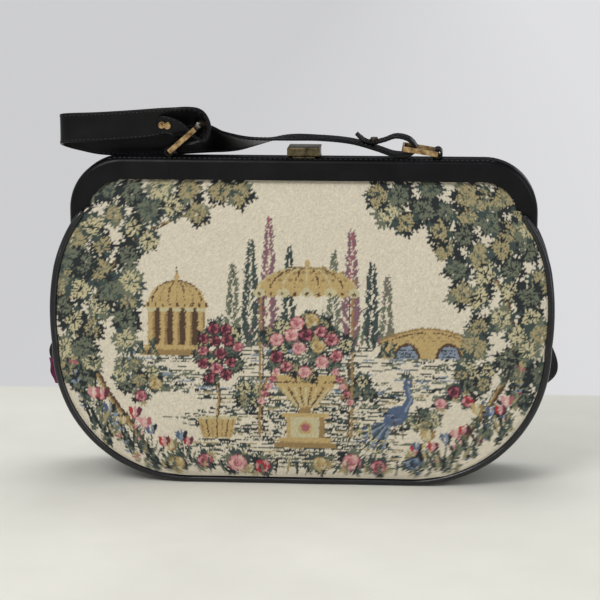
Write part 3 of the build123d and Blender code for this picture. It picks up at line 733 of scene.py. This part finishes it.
def bridge(cloth, x, z):
    """A humped bridge of two arches with coursed stone."""
    curve = [(x - 32 + 64 * t, z + 12 + 8 * sin(pi * t)) for t in np.linspace(0, 1, 16)]
    cloth.polygon([(x - 32, z)] + curve + [(x + 32, z)], OCHRE)
    cloth.stroke(curve, 1.5, TAN)
    cloth.stroke([(px, pz - 2.4) for px, pz in curve], 0.6, BROWN)
    for middle in (-14, 14):
        cloth.polygon(bow(x + middle, z, 9, 10.5, pi, 14), BROWN)
        cloth.polygon(bow(x + middle, z, 7.2, 8.4, pi, 14), PALE_BLUE)
        for level in (1.5, 3.5, 5.5):
            cloth.stroke([(x + middle - 5, z + level), (x + middle + 4, z + level)], 0.6, SLATE)
    for row in range(3):
        for i in range(10):
            at = x - 27 + i * 6 + 3 * (row % 2)
            cloth.stroke([(at, z + 12 + row * 2.2), (at + 2.4, z + 12 + row * 2.2)], 0.5, TAN)


def rose(cloth, rng, x, z, size, tones):
    """An open rose seen from above, ring within ring."""
    cloth.ellipse(x, z, size * 1.02, size * 0.94, tones[2])
    for i in range(6):
        a = radians(i * 60 + rng.uniform(-10, 10))
        petal = (x + size * 0.55 * cos(a), z + size * 0.5 * sin(a))
        cloth.ellipse(*petal, size * 0.42, size * 0.36, tones[i % 2])
    cloth.ellipse(x, z, size * 0.50, size * 0.46, tones[2])
    cloth.ellipse(x + 0.1 * size, z + 0.08 * size, size * 0.36, size * 0.32, tones[0])
    cloth.ellipse(x - 0.05 * size, z, size * 0.16, size * 0.15, tones[2])


REDS = (ROSE, PINK, PLUM)
PINKS = (PINK, BLUSH, ROSE)
PLUMS = (PLUM, ROSE, DEEP_PLUM)
GOLDS = (OCHRE, STRAW, TAN)
BLUES = (BLUE, PALE_BLUE, SLATE)
CORALS = (RED, PINK, PLUM)


def rose_spray(cloth, rng, x, z, size, tones):
    """A rose with a few lobed leaves round it."""
    start = rng.uniform(0, 360)
    for i in range(5):
        tone = (TEAL, SAGE, SLATE, KHAKI, TEAL)[i]
        lobed_leaf(cloth, x, z, size * 2.0, start + i * 72 + rng.uniform(-12, 12), tone)
    rose(cloth, rng, x, z, size, tones)


def tulip(cloth, rng, x, z, height, colours):
    """A tulip on its stem with two blades."""
    lean = rng.uniform(-3, 3)
    tip_x, tip_z = x + lean, z + height
    cloth.stroke([(x, z), (x + lean * 0.4, z + height * 0.5), (tip_x, tip_z)], 0.9, TEAL)
    cloth.leaf(x, z, height * 0.85, 1.7, 90 + rng.uniform(14, 28), SLATE)
    cloth.leaf(x, z, height * 0.75, 1.5, 90 - rng.uniform(14, 28), SAGE)
    size = height * 0.30 + 3
    for share, width, turn, tone in ((1, 3.4, 116, 0), (1, 3.4, 64, 2), (0.95, 2.6, 90, 1)):
        cloth.leaf(tip_x, tip_z - 1, size * share, width, turn, colours[tone])
    cloth.stroke([(tip_x - 0.8, tip_z + 1), (tip_x - 0.8, tip_z + size * 0.6)], 0.5, CREAM)


def bell_stem(cloth, rng, x, z, height, colours):
    """A bending stem with small bells or berries along it."""
    lean = rng.uniform(-7, 7)
    points = [(x + lean * t * t, z + height * t) for t in np.linspace(0, 1, 7)]
    cloth.stroke(points, 0.8, TEAL, 0.5)
    for i, (px, pz) in enumerate(points[2:]):
        cloth.leaf(px, pz, 4.2, 1.0, 90 + (50 if i % 2 else -50), SAGE)
        cloth.ellipse(px + (1.6 if i % 2 else -1.6), pz + 1.4, 1.5, 1.4, colours[i % 2])


def blade(cloth, rng, x, z, lengths, lean, colour):
    """A blade of grass that leans either way."""
    cloth.leaf(x, z, rng.uniform(*lengths), 1.5, 90 + rng.uniform(-lean, lean), colour)


def sprig(cloth, rng, x, z, height, lean, tones):
    """A thin stem with small leaves in pairs and a bud."""
    turn = np.radians(90 + lean)
    for i in range(1, 5):
        at = height * i / 4.6
        for way in (-1, 1):
            cloth.leaf(x + at * np.cos(turn), z + at * np.sin(turn), height * rng.uniform(0.24, 0.34), 1.7,
                       90 + lean + way * rng.uniform(35, 60), tones[i % len(tones)])
    cloth.leaf(x, z, height, 0.9, 90 + lean, tones[0])


def corner_sprigs(cloth, rng, side):
    """Grey blue sprigs that fill a lower corner out to the piping."""
    kinds = ((SLATE, PALE_BLUE), (TEAL, SAGE), (SAGE, KHAKI),
             (SLATE, TEAL), (KHAKI, SAGE, ROSE), (SLATE, SAGE))
    for i in range(30):
        z = 7 + 78 * (i / 30) ** 1.15 + rng.uniform(-2, 2)
        edge = float(panel_half_width(np.array([z]), PIPING)[0])
        x = side * (edge - rng.uniform(2, 24))
        sprig(cloth, rng, x, z - 3, rng.uniform(9, 15), -side * rng.uniform(-25, 35), kinds[i % len(kinds)])


def flower_bank(cloth, rng, side):
    """Tulips and small flowers at a lower corner."""
    kinds = [CORALS, BLUES, GOLDS, CORALS, BLUES, PINKS, CORALS, GOLDS, BLUES, CORALS, PINKS]
    for i in range(11):
        x = side * (74 + i * 6.6 + rng.uniform(-2, 2))
        ground = 9 + max(0.0, (abs(x) - 92)) * 0.62 + rng.uniform(-1, 5)
        if i % 3 == 2:
            bell_stem(cloth, rng, x, ground, rng.uniform(18, 28), kinds[i])
        tulip(cloth, rng, x, ground, rng.uniform(11, 22), kinds[i])
    for i in range(16):
        x = side * rng.uniform(78, 142)
        ground = 7 + max(0.0, (abs(x) - 94)) * 0.66 + rng.uniform(0, 8)
        blade(cloth, rng, x, ground, (8, 15), 38, (TEAL, SAGE, KHAKI, SLATE)[i % 4])


def urn(cloth, rng, x, z):
    """A stone urn on a plinth, filled with roses."""
    cloth.box(x - 21, x + 21, z, z + 4, TAN)
    cloth.box(x - 18, x + 18, z + 4, z + 7, OCHRE)
    cloth.box(x - 13, x + 13, z + 7, z + 21, STRAW)
    cloth.box(x - 13, x - 10, z + 7, z + 21, OCHRE)
    cloth.box(x + 9, x + 13, z + 7, z + 21, TAN)
    cloth.ellipse(x, z + 14, 4.6, 4.6, OCHRE)
    cloth.ellipse(x, z + 14, 2.8, 2.8, ROSE)
    cloth.box(x - 16, x + 16, z + 21, z + 24, OCHRE)
    cloth.box(x - 4, x + 4, z + 24, z + 29, TAN)
    bowl = [(7, 28), (19, 42), (23, 50), (-23, 50), (-19, 42), (-7, 28)]
    cloth.polygon([(x + px, z + pz) for px, pz in bowl], OCHRE)
    for i in range(-4, 5):
        cloth.stroke([(x + i * 1.5, z + 29), (x + i * 3.9, z + 41)], 1.0, BROWN if i % 2 else STRAW)
    cloth.stroke([(x - 21, z + 45), (x + 21, z + 45)], 1.0, BROWN)
    for side in (-1, 1):
        handle = [(x + side * (23 + 5 * sin(a)), z + 41 + 7 * cos(a)) for a in np.linspace(0, pi, 9)]
        cloth.stroke(handle, 1.5, TAN)
    for px, pz in scatter(rng, [(x, z + 70, 27, 21)], 10.0):
        spray(cloth, rng, px, pz, 8.5, LEAF_TONES[:3])
    spots = sorted(scatter(rng, [(x, z + 69, 25, 19)], 8.8), key=lambda p: p[1])
    tones = (PINKS, REDS, PINKS, PLUMS, REDS, PINKS, GOLDS)
    for i, (px, pz) in enumerate(spots):
        rose(cloth, rng, px, pz, rng.uniform(3.8, 4.9), tones[i % len(tones)])
    for side in (-1, 1):
        for i in range(5):
            share = i / 4
            at = (x + side * (20 + 10 * share), z + 52 - 20 * share)
            cloth.leaf(*at, 6, 1.3, 270 + side * 30, (TEAL, SAGE)[i % 2])
            rose(cloth, rng, *at, 2.6, (PINKS, REDS)[i % 2])


def trellis(cloth, x, z, foot):
    """A scalloped gold hood on two slender posts."""
    half = 34
    for side in (-1, 1):
        cloth.stroke([(x + side * (half - 3), foot), (x + side * (half - 3), z)], 1.3, TAN)
        cloth.stroke([(x + side * (half - 5), foot), (x + side * (half - 5), z)], 0.5, BROWN)
    cloth.polygon(bow(x, z, half, 16, pi, 26), OCHRE)
    for i in range(-4, 5):
        cloth.stroke(bow(x, z, i * 8.2, 16, pi / 2, 9), 0.8, BROWN if i % 2 else STRAW)
        for share in (0.3, 0.55, 0.8):
            a = pi / 2 * share
            cloth.ellipse(x + (i + 0.5) * 8.2 * cos(a), z + 16 * sin(a), 1.3, 1.0, TAN)
    for i in range(9):
        at = x - half + 2 + i * 8
        cloth.ellipse(at, z - 1.2, 4.0, 3.0, OCHRE if i % 2 else STRAW)
        cloth.ellipse(at, z - 2.0, 1.2, 1.0, BROWN)
    cloth.ellipse(x, z + 18, 1.8, 2.8, OCHRE)


def topiary(cloth, rng, x, z):
    """A ball of plum roses on a stem in a gilded tub."""
    cloth.polygon([(x - 10, z), (x + 10, z), (x + 13, z + 14), (x - 13, z + 14)], OCHRE)
    for i in range(-3, 4):
        cloth.stroke([(x + i * 2.9, z + 1), (x + i * 3.7, z + 13)], 0.8, TAN if i % 2 else BROWN)
    cloth.stroke([(x - 13, z + 14), (x + 13, z + 14)], 1.8, STRAW)
    branch(cloth, [(x, z + 15), (x + 1.5, z + 27), (x, z + 40)], 2.4, 2.0)
    for px, pz in scatter(rng, [(x, z + 58, 15, 18)], 9.5):
        spray(cloth, rng, px, pz, 8.0, LEAF_TONES[:3])
    for i, (px, pz) in enumerate(scatter(rng, [(x, z + 58, 15, 18)], 7.6)):
        rose(cloth, rng, px, pz, rng.uniform(3.5, 4.4), (PLUMS, REDS, PLUMS, PLUMS)[i % 4])


def peacock(cloth, x, z):
    """A bird with a long patterned train."""
    for i in range(9):
        turn = 198 + i * 7
        length = 34 - abs(i - 4) * 1.5
        cloth.leaf(x, z + 12, length, 1.6, turn, (BLUE, TEAL, PALE_BLUE)[i % 3])
        a = radians(turn)
        for share in (0.55, 0.8):
            spot = (x + length * share * cos(a), z + 12 + length * share * sin(a))
            cloth.ellipse(*spot, 1.4, 1.1, STRAW)
            cloth.ellipse(*spot, 0.7, 0.6, SLATE)
    cloth.ellipse(x + 3, z + 15, 9, 6.2, BLUE, 35)
    for i in range(6):
        cloth.leaf(x + 7 - i * 2.6, z + 13 + i, 5.5, 1.0, 190 - i * 6, (PALE_BLUE, SLATE)[i % 2])
    neck = [(x + 8, z + 18), (x + 12, z + 26), (x + 10, z + 35)]
    cloth.stroke(neck, 5.4, BLUE, 3.4)
    cloth.stroke([(px + 1, pz) for px, pz in neck], 1.5, PALE_BLUE, 1.0)
    cloth.ellipse(x + 11, z + 37.5, 3.0, 2.7, BLUE)
    cloth.leaf(x + 13, z + 37.5, 4.4, 0.9, 0, OCHRE)
    cloth.ellipse(x + 11.6, z + 38, 0.7, 0.7, CREAM)
    for i in range(3):
        cloth.stroke([(x + 10, z + 40), (x + 8 + 2 * i, z + 45.5)], 0.6, TEAL)
    for step in (0, 5):
        cloth.stroke([(x + 2 + step, z + 10), (x + 3 + step, z)], 1.0, BROWN)


def draw_picture():
    """A garden by the water: temple, bridge, cypresses, an urn of roses, a bird, trees and flowers."""
    rng = np.random.default_rng(23)
    cloth = Cloth()
    shades = (SLATE, TEAL, SAGE, SAGE, PALE_BLUE, TEAL)
    hatching(cloth, rng, 62, 96, 66, 0.80, shades)
    hatching(cloth, rng, 64, 90, 32, 0.85, shades, -92)
    hatching(cloth, rng, 60, 92, 44, 0.82, shades, 92)
    hatching(cloth, rng, 12, 64, 92, 0.92, (SLATE, TEAL, SAGE, KHAKI, TEAL, SLATE))
    for i in range(34):
        x = -64 + i * 3.9
        cloth.leaf(x, 95 + rng.uniform(-2, 2), rng.uniform(8, 19), 2.2, 90 + rng.uniform(-16, 16),
                   (SAGE, TEAL, MAUVE, SAGE)[rng.integers(4)])
    for x, top, wide, dark, light in (
        (-34, 164, 7, TEAL, SAGE), (-46, 148, 6, SAGE, TEAL),
        (-22, 178, 7, MAUVE, ROSE), (-8, 160, 5, TEAL, SLATE),
        (34, 172, 7, MAUVE, ROSE), (22, 156, 5, SAGE, TEAL),
        (48, 150, 6, TEAL, SLATE), (58, 140, 5, SAGE, MAUVE),
    ):
        cypress(cloth, rng, x, 94, top, wide, dark, light)
    rotunda(cloth, -84, 88)
    bridge(cloth, 86, 88)
    for x in (-112, -104, -60, 52, 58, 116):
        for i, tone in enumerate((SLATE, TEAL, SAGE, KHAKI, TEAL)):
            cloth.leaf(x + i * 2, 88, rng.uniform(9, 15), 1.9, 90 + (i - 2) * 17, tone)
    bushes = [(-112, 74, 12, 9), (116, 76, 12, 10), (-34, 62, 8, 7), (44, 66, 9, 7), (84, 48, 9, 7)]
    for bush in bushes:
        for px, pz in scatter(rng, [bush], 7.5):
            spray(cloth, rng, px, pz, 7.5)
    for side in (-1, 1):
        framing_tree(cloth, rng, side)
    trellis(cloth, 4, 132, 34)
    urn(cloth, rng, 4, 26)
    topiary(cloth, rng, -56, 32)
    peacock(cloth, 62, 34)
    for x, z, size, tones in (
        (104, 66, 4.4, PLUMS), (113, 60, 4.0, CORALS), (95, 58, 4.0, PINKS),
        (-98, 68, 4.2, GOLDS), (-108, 60, 4.2, REDS),
    ):
        rose_spray(cloth, rng, x, z, size, tones)
    for plant in (corner_sprigs, flower_bank):
        for side in (-1, 1):
            plant(cloth, rng, side)
    tones = (GOLDS, REDS, PINKS, CORALS, GOLDS, PINKS, REDS, BLUES)
    for i, x in enumerate((-84, -66, -42, -24, 12, 34, 54, 78)):
        at = (x + rng.uniform(-2, 2), 13 + rng.uniform(-2, 4))
        rose_spray(cloth, rng, *at, rng.uniform(5.0, 6.6), tones[i])
    for i in range(26):
        x = -88 + i * 7 + rng.uniform(-3, 3)
        blade(cloth, rng, x, 6, (7, 14), 40, (TEAL, SAGE, SLATE, KHAKI)[i % 4])
    return cloth


def weave(cloth, x, z, rng):
    """The picture's colour at each point of a panel, a little ragged, as weaving makes it."""
    x = x + rng.normal(0, 0.26, x.shape)
    z = z + rng.normal(0, 0.20, z.shape)
    column = np.clip(((x + CLOTH_HALF_WIDTH) / CLOTH_PITCH).astype(int), 0, len(cloth.x) - 1)
    row = np.clip((z / CLOTH_PITCH).astype(int), 0, len(cloth.z) - 1)
    colour = linear(cloth.colour[row, column])
    return np.clip(colour * rng.normal(CLOTH_TONE, 0.07, x.shape)[..., None], 0, 1)


# Pieces of the bag

def panel(name, side, cloth):
    """A tapestry panel, front (side -1) or back (side 1)."""
    inset = PIPING - PANEL_UNDER_PIPING
    z = np.linspace(inset + 0.1, PANEL_TOP, int((PANEL_TOP - inset) / CELL_UP))
    width = panel_half_width(z, inset)
    x, zz = spread(width, z, int(2 * SIDE_MID[0] / CELL_ACROSS))
    edge = np.minimum(width[:, None] - np.abs(x), zz - inset)
    dip = 1.3 * (1 - smooth(0.0, 7.0, edge))
    wave = 0.5 * np.sin(x * 0.045 + zz * 0.02) * np.sin(zz * 0.05 + 1.0) + 0.35 * np.sin(x * 0.11 - zz * 0.06)
    wave *= smooth(2, 25, edge) * (1 - smooth(185, 202, zz))
    depth = half_depth(zz) - PANEL_SINK - dip + wave
    piece = grid(name, np.stack([x, side * depth, zz], axis=-1), np.stack([x, zz], axis=-1), flip=side > 0)
    colours = weave(cloth, -side * x, zz, np.random.default_rng(5 + side)).reshape(-1, 3)
    values = np.ones((len(colours), 4))
    values[:, :3] = colours
    layer = piece.data.color_attributes.new("picture", "FLOAT_COLOR", "POINT")
    layer.data.foreach_set("color", values.reshape(-1))
    return piece


def piping(name, side):
    """Leather cord round a panel's edge, its ends tucked under the frame's arms."""
    line = side_line(PIPING / 2)
    line = line[line[:, 1] < PIPING_TOP]
    base = [(x, PIPING / 2) for x in np.linspace(-BASE_HALF_WIDTH, BASE_HALF_WIDTH, 40)[1:-1]]
    route = np.concatenate([line[::-1] * (-1, 1), base, line])
    depth = half_depth(route[:, 1]) - PIPING / 2
    steps = np.arange(len(route))
    wobble = 0.25 * np.sin(steps * 0.35) * np.sin(steps * 0.11)
    path = np.stack([route[:, 0], side * (depth + wobble), route[:, 1]], axis=1)
    return tube(name, path, PIPING_RADIUS)


def side_sheet(name, inset, depth_inset, top, tuck, bulge):
    """A strip round the sides and the base, turned in below the frame's arms at its top."""
    line = side_line(inset)
    line = line[line[:, 1] < top]
    shelf = [line[-1] + (np.array(tuck) - line[-1]) * t for t in np.linspace(0.08, 1, 10)]
    base = [(x, inset) for x in np.linspace(0, BASE_HALF_WIDTH, 30)[:-1]]
    path = resample(np.concatenate([base, line, shelf]), 1.8)
    path = np.concatenate([path[::-1][:-1] * (-1, 1), path])
    reach = half_depth(path[:, 1]) - depth_inset
    along = unit(np.gradient(path, axis=0))
    out = np.stack([along[:, 1], -along[:, 0]], axis=1)
    y = reach[:, None] * np.linspace(-1, 1, 61)[None, :]
    push = np.array([[bulge(px, pz, yy) for yy in row] for (px, pz), row in zip(path, y)])
    x, z = (path[:, i, None] + out[:, i, None] * push for i in (0, 1))
    return grid(name, np.stack([x, y, np.maximum(z, inset * 0.9)], axis=-1))


def resample(path, step):
    """Points at even distances along a path."""
    run = run_along(path)
    at = np.linspace(0, run[-1], int(run[-1] / step))
    return np.stack([np.interp(at, run, path[:, i]) for i in range(path.shape[1])], axis=1)


def gusset_bulge(x, z, y):
    """How far the gusset stands out: a crease that juts out at the side and one that runs in to the hinge."""
    if z < 30:
        return 0.0
    middle, reach = LEFT_FOLD if x < 0 else RIGHT_FOLD
    span = (z - middle) / (middle - FOLD_LOW if z < middle else FOLD_HIGH - middle)
    rise = max(0.0, 1 - span * span) ** 2.4
    jut = reach * rise * max(0.0, 1 - abs(y) / FOLD_HALF_DEPTH) ** 1.15
    sink = -CREASE_DEPTH * smooth(*CREASE_RISE, z) * np.exp(-((y / CREASE_REACH) ** 2))
    sink *= 1 - smooth(*CREASE_FADE, z)
    ripple = 0.35 * sin(z * 0.21 + y * 0.3) * sin(y * 0.35 + (1 if x > 0 else 2))
    return jut + sink + ripple


def lining_bulge(x, z, y):
    """The lining follows the gusset's inward crease only."""
    return min(0.0, gusset_bulge(x, z, y)) * 0.8


def strap_frames(step):
    """Centre, along, across, out and width at even steps along the strap."""
    route = np.array(STRAP_ROUTE)
    padded = np.concatenate([route[:1], route, route[-1:]])
    rows = []
    for i in range(len(route) - 1):
        for t in np.arange(0, 1, step):
            weights = (-0.5 * t + t**2 - 0.5 * t**3, 1 - 2.5 * t**2 + 1.5 * t**3,
                       0.5 * t + 2 * t**2 - 1.5 * t**3, -0.5 * t**2 + 0.5 * t**3)
            rows.append(sum(w * padded[i + n] for n, w in enumerate(weights)))
    rows.append(route[-1])
    rows = np.array(rows)
    centre, angle, width = rows[:, :3], np.radians(rows[:, 3]), rows[:, 4]
    along = unit(np.gradient(centre, axis=0))
    across = np.stack([np.zeros_like(angle), np.cos(angle), np.sin(angle)], axis=1)
    across -= along * (across * along).sum(axis=1)[:, None]
    across = unit(across)
    out = np.cross(along, across)
    station = np.arange(len(rows)) * step
    low, high = FOLD_STATIONS
    turn = smooth(low - 1, low + 0.3, station) * (1 - smooth(high - 0.3, high + 1.5, station))
    turn *= np.radians(FOLD_TWIST)
    across = across * np.cos(turn)[:, None] + out * np.sin(turn)[:, None]
    return centre, along, across, np.cross(along, across), width


def strap(name):
    """The leather strap: two faces with a slight crown and rolled edges."""
    centre, _, across, out, width = strap_frames(0.125)
    half = STRAP_THICKNESS / 2
    section = [(-1.0, 0.0), (-0.985, 0.72), (-0.93, 1.0), (-0.84, 0.86), (-0.5, 1.0), (0.0, 1.06),
               (0.5, 1.0), (0.84, 0.86), (0.93, 1.0), (0.985, 0.72), (1.0, 0.0)]
    section += [(u, -v) for u, v in section[-2:0:-1]]
    u, v = np.array(section).T
    points = (centre[:, None] + across[:, None] * (u[None, :, None] * width[:, None, None] / 2)
              + out[:, None] * (v[None, :, None] * half))
    return grid(name, points, closed=True)


def strap_stitch_places():
    """A row of stitches near each edge, on both faces."""
    centre, along, across, out, width = strap_frames(0.02)
    run = run_along(centre)
    places = []
    for at in np.arange(4, run[-1] - 4, STRAP_STITCHES[0]):
        i = int(np.searchsorted(run, at))
        for edge in (-1, 1):
            for face in (-1, 1):
                offset = across[i] * edge * width[i] / 2 * 0.84 + out[i] * face * STRAP_THICKNESS / 2 * 0.86
                places.append((centre[i] + offset, along[i], out[i] * face))
    return places


def frame_stitch_places(side):
    """Stitches along the rounded top edge of the frame's cover."""
    tilt = radians(FRAME_STITCH_TILT)
    out = np.array([0, side * cos(tilt), sin(tilt)])
    y = side * (FRAME_HALF_DEPTH - FRAME_EDGE_RADIUS + FRAME_EDGE_RADIUS * cos(tilt))
    z = FRAME_TOP - FRAME_EDGE_RADIUS + FRAME_EDGE_RADIUS * sin(tilt)
    half = FRAME_HALF_WIDTH - FRAME_CORNER_RADIUS + 8
    places = []
    for x in np.arange(-half, half, FRAME_STITCHES[0]):
        drop = max(0.0, abs(x) - FRAME_DROP_FROM) ** 2 * FRAME_DROP
        places.append((np.array([x, y, z - drop]), np.array([1.0, 0, 0]), out))
    return places


def cover_seam(name):
    """The short upright seam in the cover, left of the clasp."""
    drop = np.linspace(0, SEAM_LENGTH, 12)
    points = [(SEAM_X, 0.02 * abs(t - 6) - FRAME_HALF_DEPTH - 0.12, FRAME_TOP - 4 - t) for t in drop]
    return tube(name, points, 0.32, sides=8)


def lining_sheet(name, side):
    """The lining's front or back."""
    z = np.linspace(LINING_INSET, LINING_TOP, 110)
    width = panel_half_width(z, LINING_INSET)
    width = np.where(z < LINING_SIDE_TOP, width, np.minimum(width, LINING_MOUTH_HALF_WIDTH))
    x, zz = spread(width, z, 150)
    fold = 0.35 * np.sin(x * 0.13 + 0.6 * np.sin(zz * 0.05)) * smooth(190, LINING_SIDE_TOP, zz)
    depth = half_depth(zz) - LINING_DEPTH_INSET + fold
    return grid(name, np.stack([x, side * depth, zz], axis=-1), flip=side < 0)


def side_at(height):
    """How far the body's side stands out at a height."""
    return np.interp(height, SIDE[:, 1], SIDE[:, 0])


def peek(name):
    """A crumpled strip of lining that hangs out of the split in the left crease."""
    low, high = (np.array(corner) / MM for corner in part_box("lining_peek"))
    tall = high[2] - low[2]
    t = np.linspace(0, 1, 26)[:, None]
    s = np.linspace(0, 1, 14)[None, :]
    edge = low[0] + 0.3 + 3.2 * (1 - t) ** 2 + 0.5 * np.sin(9 * t + 1)
    inner = -side_at(low[2] + tall * t) + 3.0
    x = inner + (edge - inner) * s
    z = low[2] - SCRAP_DROP + (tall + 0.5) * t + 0.5 * np.sin(5 * s) + 1.5 * (s - 0.5)
    sheets = []
    for face in (-1, 1):
        crumple = 0.5 * np.sin(7 * s + 6 * t) - 0.8 * s
        y = (low[1] + high[1]) / 2 + face * SCRAP_HALF_THICKNESS * (1 - s**4) + crumple
        sheets.append(grid(name, np.stack([x, y, z], axis=-1), flip=face > 0))
    return join(name, sheets)


def paint(piece, material):
    """Gives a piece its finish."""
    piece.data.materials.clear()
    piece.data.materials.append(material)
    return piece


def repaint(nodes, material):
    """Gives solids that stay in view a better finish."""
    for node in nodes:
        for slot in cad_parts[node].material_slots:
            slot.material = material


def build_bag():
    black = leather("leather_black", (0.0028, 0.0028, 0.0036), (0.0070, 0.0070, 0.0085), 0.32, 0.0009)
    shiny = leather("leather_shiny", (0.0026, 0.0025, 0.0032), (0.0065, 0.0063, 0.0080), 0.30, 0.0007, 0.0004)
    glossy = leather("leather_glossy", (0.0026, 0.0025, 0.0034), (0.0065, 0.0063, 0.0085), 0.22, 0.0006,
                     crease=0.0005, shine=0.42, coat=0.22)
    soft = leather("leather_soft", (0.0035, 0.0035, 0.0048), (0.0090, 0.0090, 0.0120), 0.42, 0.0011, 0.0010)
    old_brass = brass("brass_old", (0.165, 0.132, 0.075), (0.034, 0.027, 0.016), 0.36)
    worn_brass = brass("brass_worn", (0.62, 0.43, 0.21), (0.11, 0.055, 0.025), 0.26)
    # Brass darkened to near black: painted shade, so the right stud reads as the shadow under the strap.
    painted_shade_brass = brass("brass_painted_shade", (0.07, 0.05, 0.03), (0.02, 0.015, 0.01), 0.45)
    bare_steel = steel("frame_steel_old")
    picture = tapestry("tapestry_cloth")
    cloth = draw_picture()

    front = paint(panel("front_tapestry", -1, cloth), picture)
    back = paint(panel("back_tapestry", 1, cloth), picture)
    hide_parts("front_panel")
    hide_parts("back_panel")
    front_cord = paint(piping("front_cord", -1), glossy)
    back_cord = paint(piping("back_cord", 1), glossy)
    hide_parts("front_piping")
    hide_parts("back_piping")

    side = side_sheet("gusset_leather", GUSSET_INSET, GUSSET_DEPTH_INSET, GUSSET_TOP,
                      GUSSET_TUCK, gusset_bulge)
    paint(side, soft)
    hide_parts("gusset")
    # The scrap's cloth is the lining's at half brightness: painted shade where it hangs out under the fold.
    scrap = paint(peek("lining_scrap"), lining_cloth("lining_scrap_cloth_painted_shade", 0.5))
    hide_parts("lining_peek")

    magenta = lining_cloth("lining_cloth")
    front_lining = paint(lining_sheet("lining_front", -1), magenta)
    back_lining = paint(lining_sheet("lining_back", 1), magenta)
    lining_sides = side_sheet("lining_sides", LINING_SIDE_INSET, LINING_SIDE_DEPTH_INSET, LINING_SIDE_TOP,
                              LINING_TUCK, lining_bulge)
    paint(lining_sides, magenta)
    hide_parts("lining")

    belt = paint(strap("strap_leather"), black)
    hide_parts("handle_strap")
    grey_thread = thread("thread_grey", (0.030, 0.029, 0.028))
    pale_thread = thread("thread_pale", (0.020, 0.019, 0.017))
    belt_stitches = stitches("strap_stitches", strap_stitch_places(), *STRAP_STITCHES[1:])
    front_stitches = stitches("front_frame_stitches", frame_stitch_places(-1), *FRAME_STITCHES[1:])
    back_stitches = stitches("back_frame_stitches", frame_stitch_places(1), *FRAME_STITCHES[1:])
    paint(belt_stitches, grey_thread)
    paint(front_stitches, pale_thread)
    paint(back_stitches, pale_thread)
    seam = paint(cover_seam("cover_seam"), shiny)

    repaint(["front_frame_cover", "back_frame_cover"], shiny)
    repaint(["front_frame_channel", "back_frame_channel", "left_hinge_pin", "right_hinge_pin"], bare_steel)
    repaint(["front_board", "back_board", "base_board"], board("stiffener_board"))
    repaint(["clasp_base", "clasp_pin", "clasp_spring", "clasp_lever", "clasp_catch"], old_brass)
    repaint(["left_ring", "right_ring", "left_stud"], worn_brass)
    # The right stud gets the near-black brass: painted shade under the strap.
    repaint(["right_stud"], painted_shade_brass)
    repaint(["left_chape", "right_chape"], black)

    for piece in (front, front_cord, front_lining):
        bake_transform(piece)
    for piece in (back, back_cord, side, scrap, back_lining, lining_sides,
                  belt, belt_stitches, back_stitches):
        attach(piece, "bag")
    for piece in (front_stitches, seam):
        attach(piece, "front_frame")


# Stage, light and camera

IMAGE_WIDTH = 600
MM_PER_PIXEL = 0.685
VIEW_ELEVATION = 11.0
VIEW_AZIMUTH = 4.0
CAMERA_DISTANCE = 1.5
CENTRE_COLUMN = 303
BASE_ROW = 473.6
SENSOR = 36.0
WALL_LINE = 0.24
WALL_BLUR = 0.003
FLOOR_REACH = 6.0
AIM = (0, 0, 0.12)


def stage():
    s = Shader("pale_floor")
    at = s.place()
    wall = s.span(s.axis(at, "Y"), 0.0, 1.0, WALL_LINE - WALL_BLUR, WALL_LINE + WALL_BLUR)
    floor = s.ramp(s.noise(at, 5, 4, 0.6), [(0.3, (0.70, 0.685, 0.62)), (0.7, (0.80, 0.785, 0.72))])
    inputs = {"Factor": wall, "A": floor, "B": (0.02, 0.02, 0.02, 1)}
    mixed = s.node("ShaderNodeMix", inputs, data_type="RGBA")
    # The wall band beyond WALL_LINE glows though it is no lamp, and more strongly towards +X: painted light
    # on the wall.
    painted_wall_light = s.span(s.axis(at, "X"), 0.57, 0.70, -0.3, 0.35)
    power = s.node("ShaderNodeMath", {0: wall, 1: painted_wall_light}, operation="MULTIPLY").outputs["Value"]
    s.set(Base_Color=mixed.outputs["Result"], Roughness=0.75, Emission_Strength=power)
    s.set(Emission_Color=(1.0, 1.0, 1.02, 1), Specular_IOR_Level=0.2)
    corners = [(x * FLOOR_REACH, y * FLOOR_REACH, 0) for x, y in ((-1, -1), (1, -1), (1, 1), (-1, 1))]
    floor = add_mesh("floor", corners, [(0, 1, 2, 3)])
    floor.data.materials.append(s.material)

    world = bpy.data.worlds.new("studio")
    bpy.context.scene.world = world
    world.use_nodes = True
    sky = world.node_tree.nodes["Background"].inputs
    sky["Color"].default_value = (0.96, 0.98, 1.0, 1)
    sky["Strength"].default_value = 0.52

    lamp("key", (-0.8, -1.5, 1.5), 0.9, 20, (1.0, 0.985, 0.96))
    lamp("fill", (1.4, -1.1, 0.8), 1.0, 5, (0.95, 0.98, 1.0))
    lamp("top", (0.1, 0.5, 1.5), 0.8, 7, (1.0, 1.0, 1.0))


def lamp(name, place, size, power, colour):
    light = bpy.data.lights.new(name, "AREA")
    light.size, light.energy, light.color = size, power, colour
    made = add(name, light)
    made.location = place
    made.rotation_euler = (Vector(AIM) - made.location).to_track_quat("-Z", "Y").to_euler()


def camera():
    a, e = radians(VIEW_AZIMUTH), radians(VIEW_ELEVATION)
    back = Vector((sin(a) * cos(e), -cos(a) * cos(e), sin(e)))
    across = (IMAGE_WIDTH / 2 - CENTRE_COLUMN) * MM_PER_PIXEL * MM
    height = (BASE_ROW - IMAGE_WIDTH / 2) * MM_PER_PIXEL / cos(e) * MM
    target = Vector((across, 0, height))
    data = bpy.data.cameras.new("camera")
    data.sensor_width = SENSOR
    data.lens = SENSOR * CAMERA_DISTANCE / (IMAGE_WIDTH * MM_PER_PIXEL * MM)
    made = add("camera", data)
    made.location = target + back * CAMERA_DISTANCE
    made.rotation_euler = (-back).to_track_quat("-Z", "Y").to_euler()
    bpy.context.scene.camera = made


build_bag()
stage()
camera()
bpy.context.scene.view_settings.view_transform = "Standard"
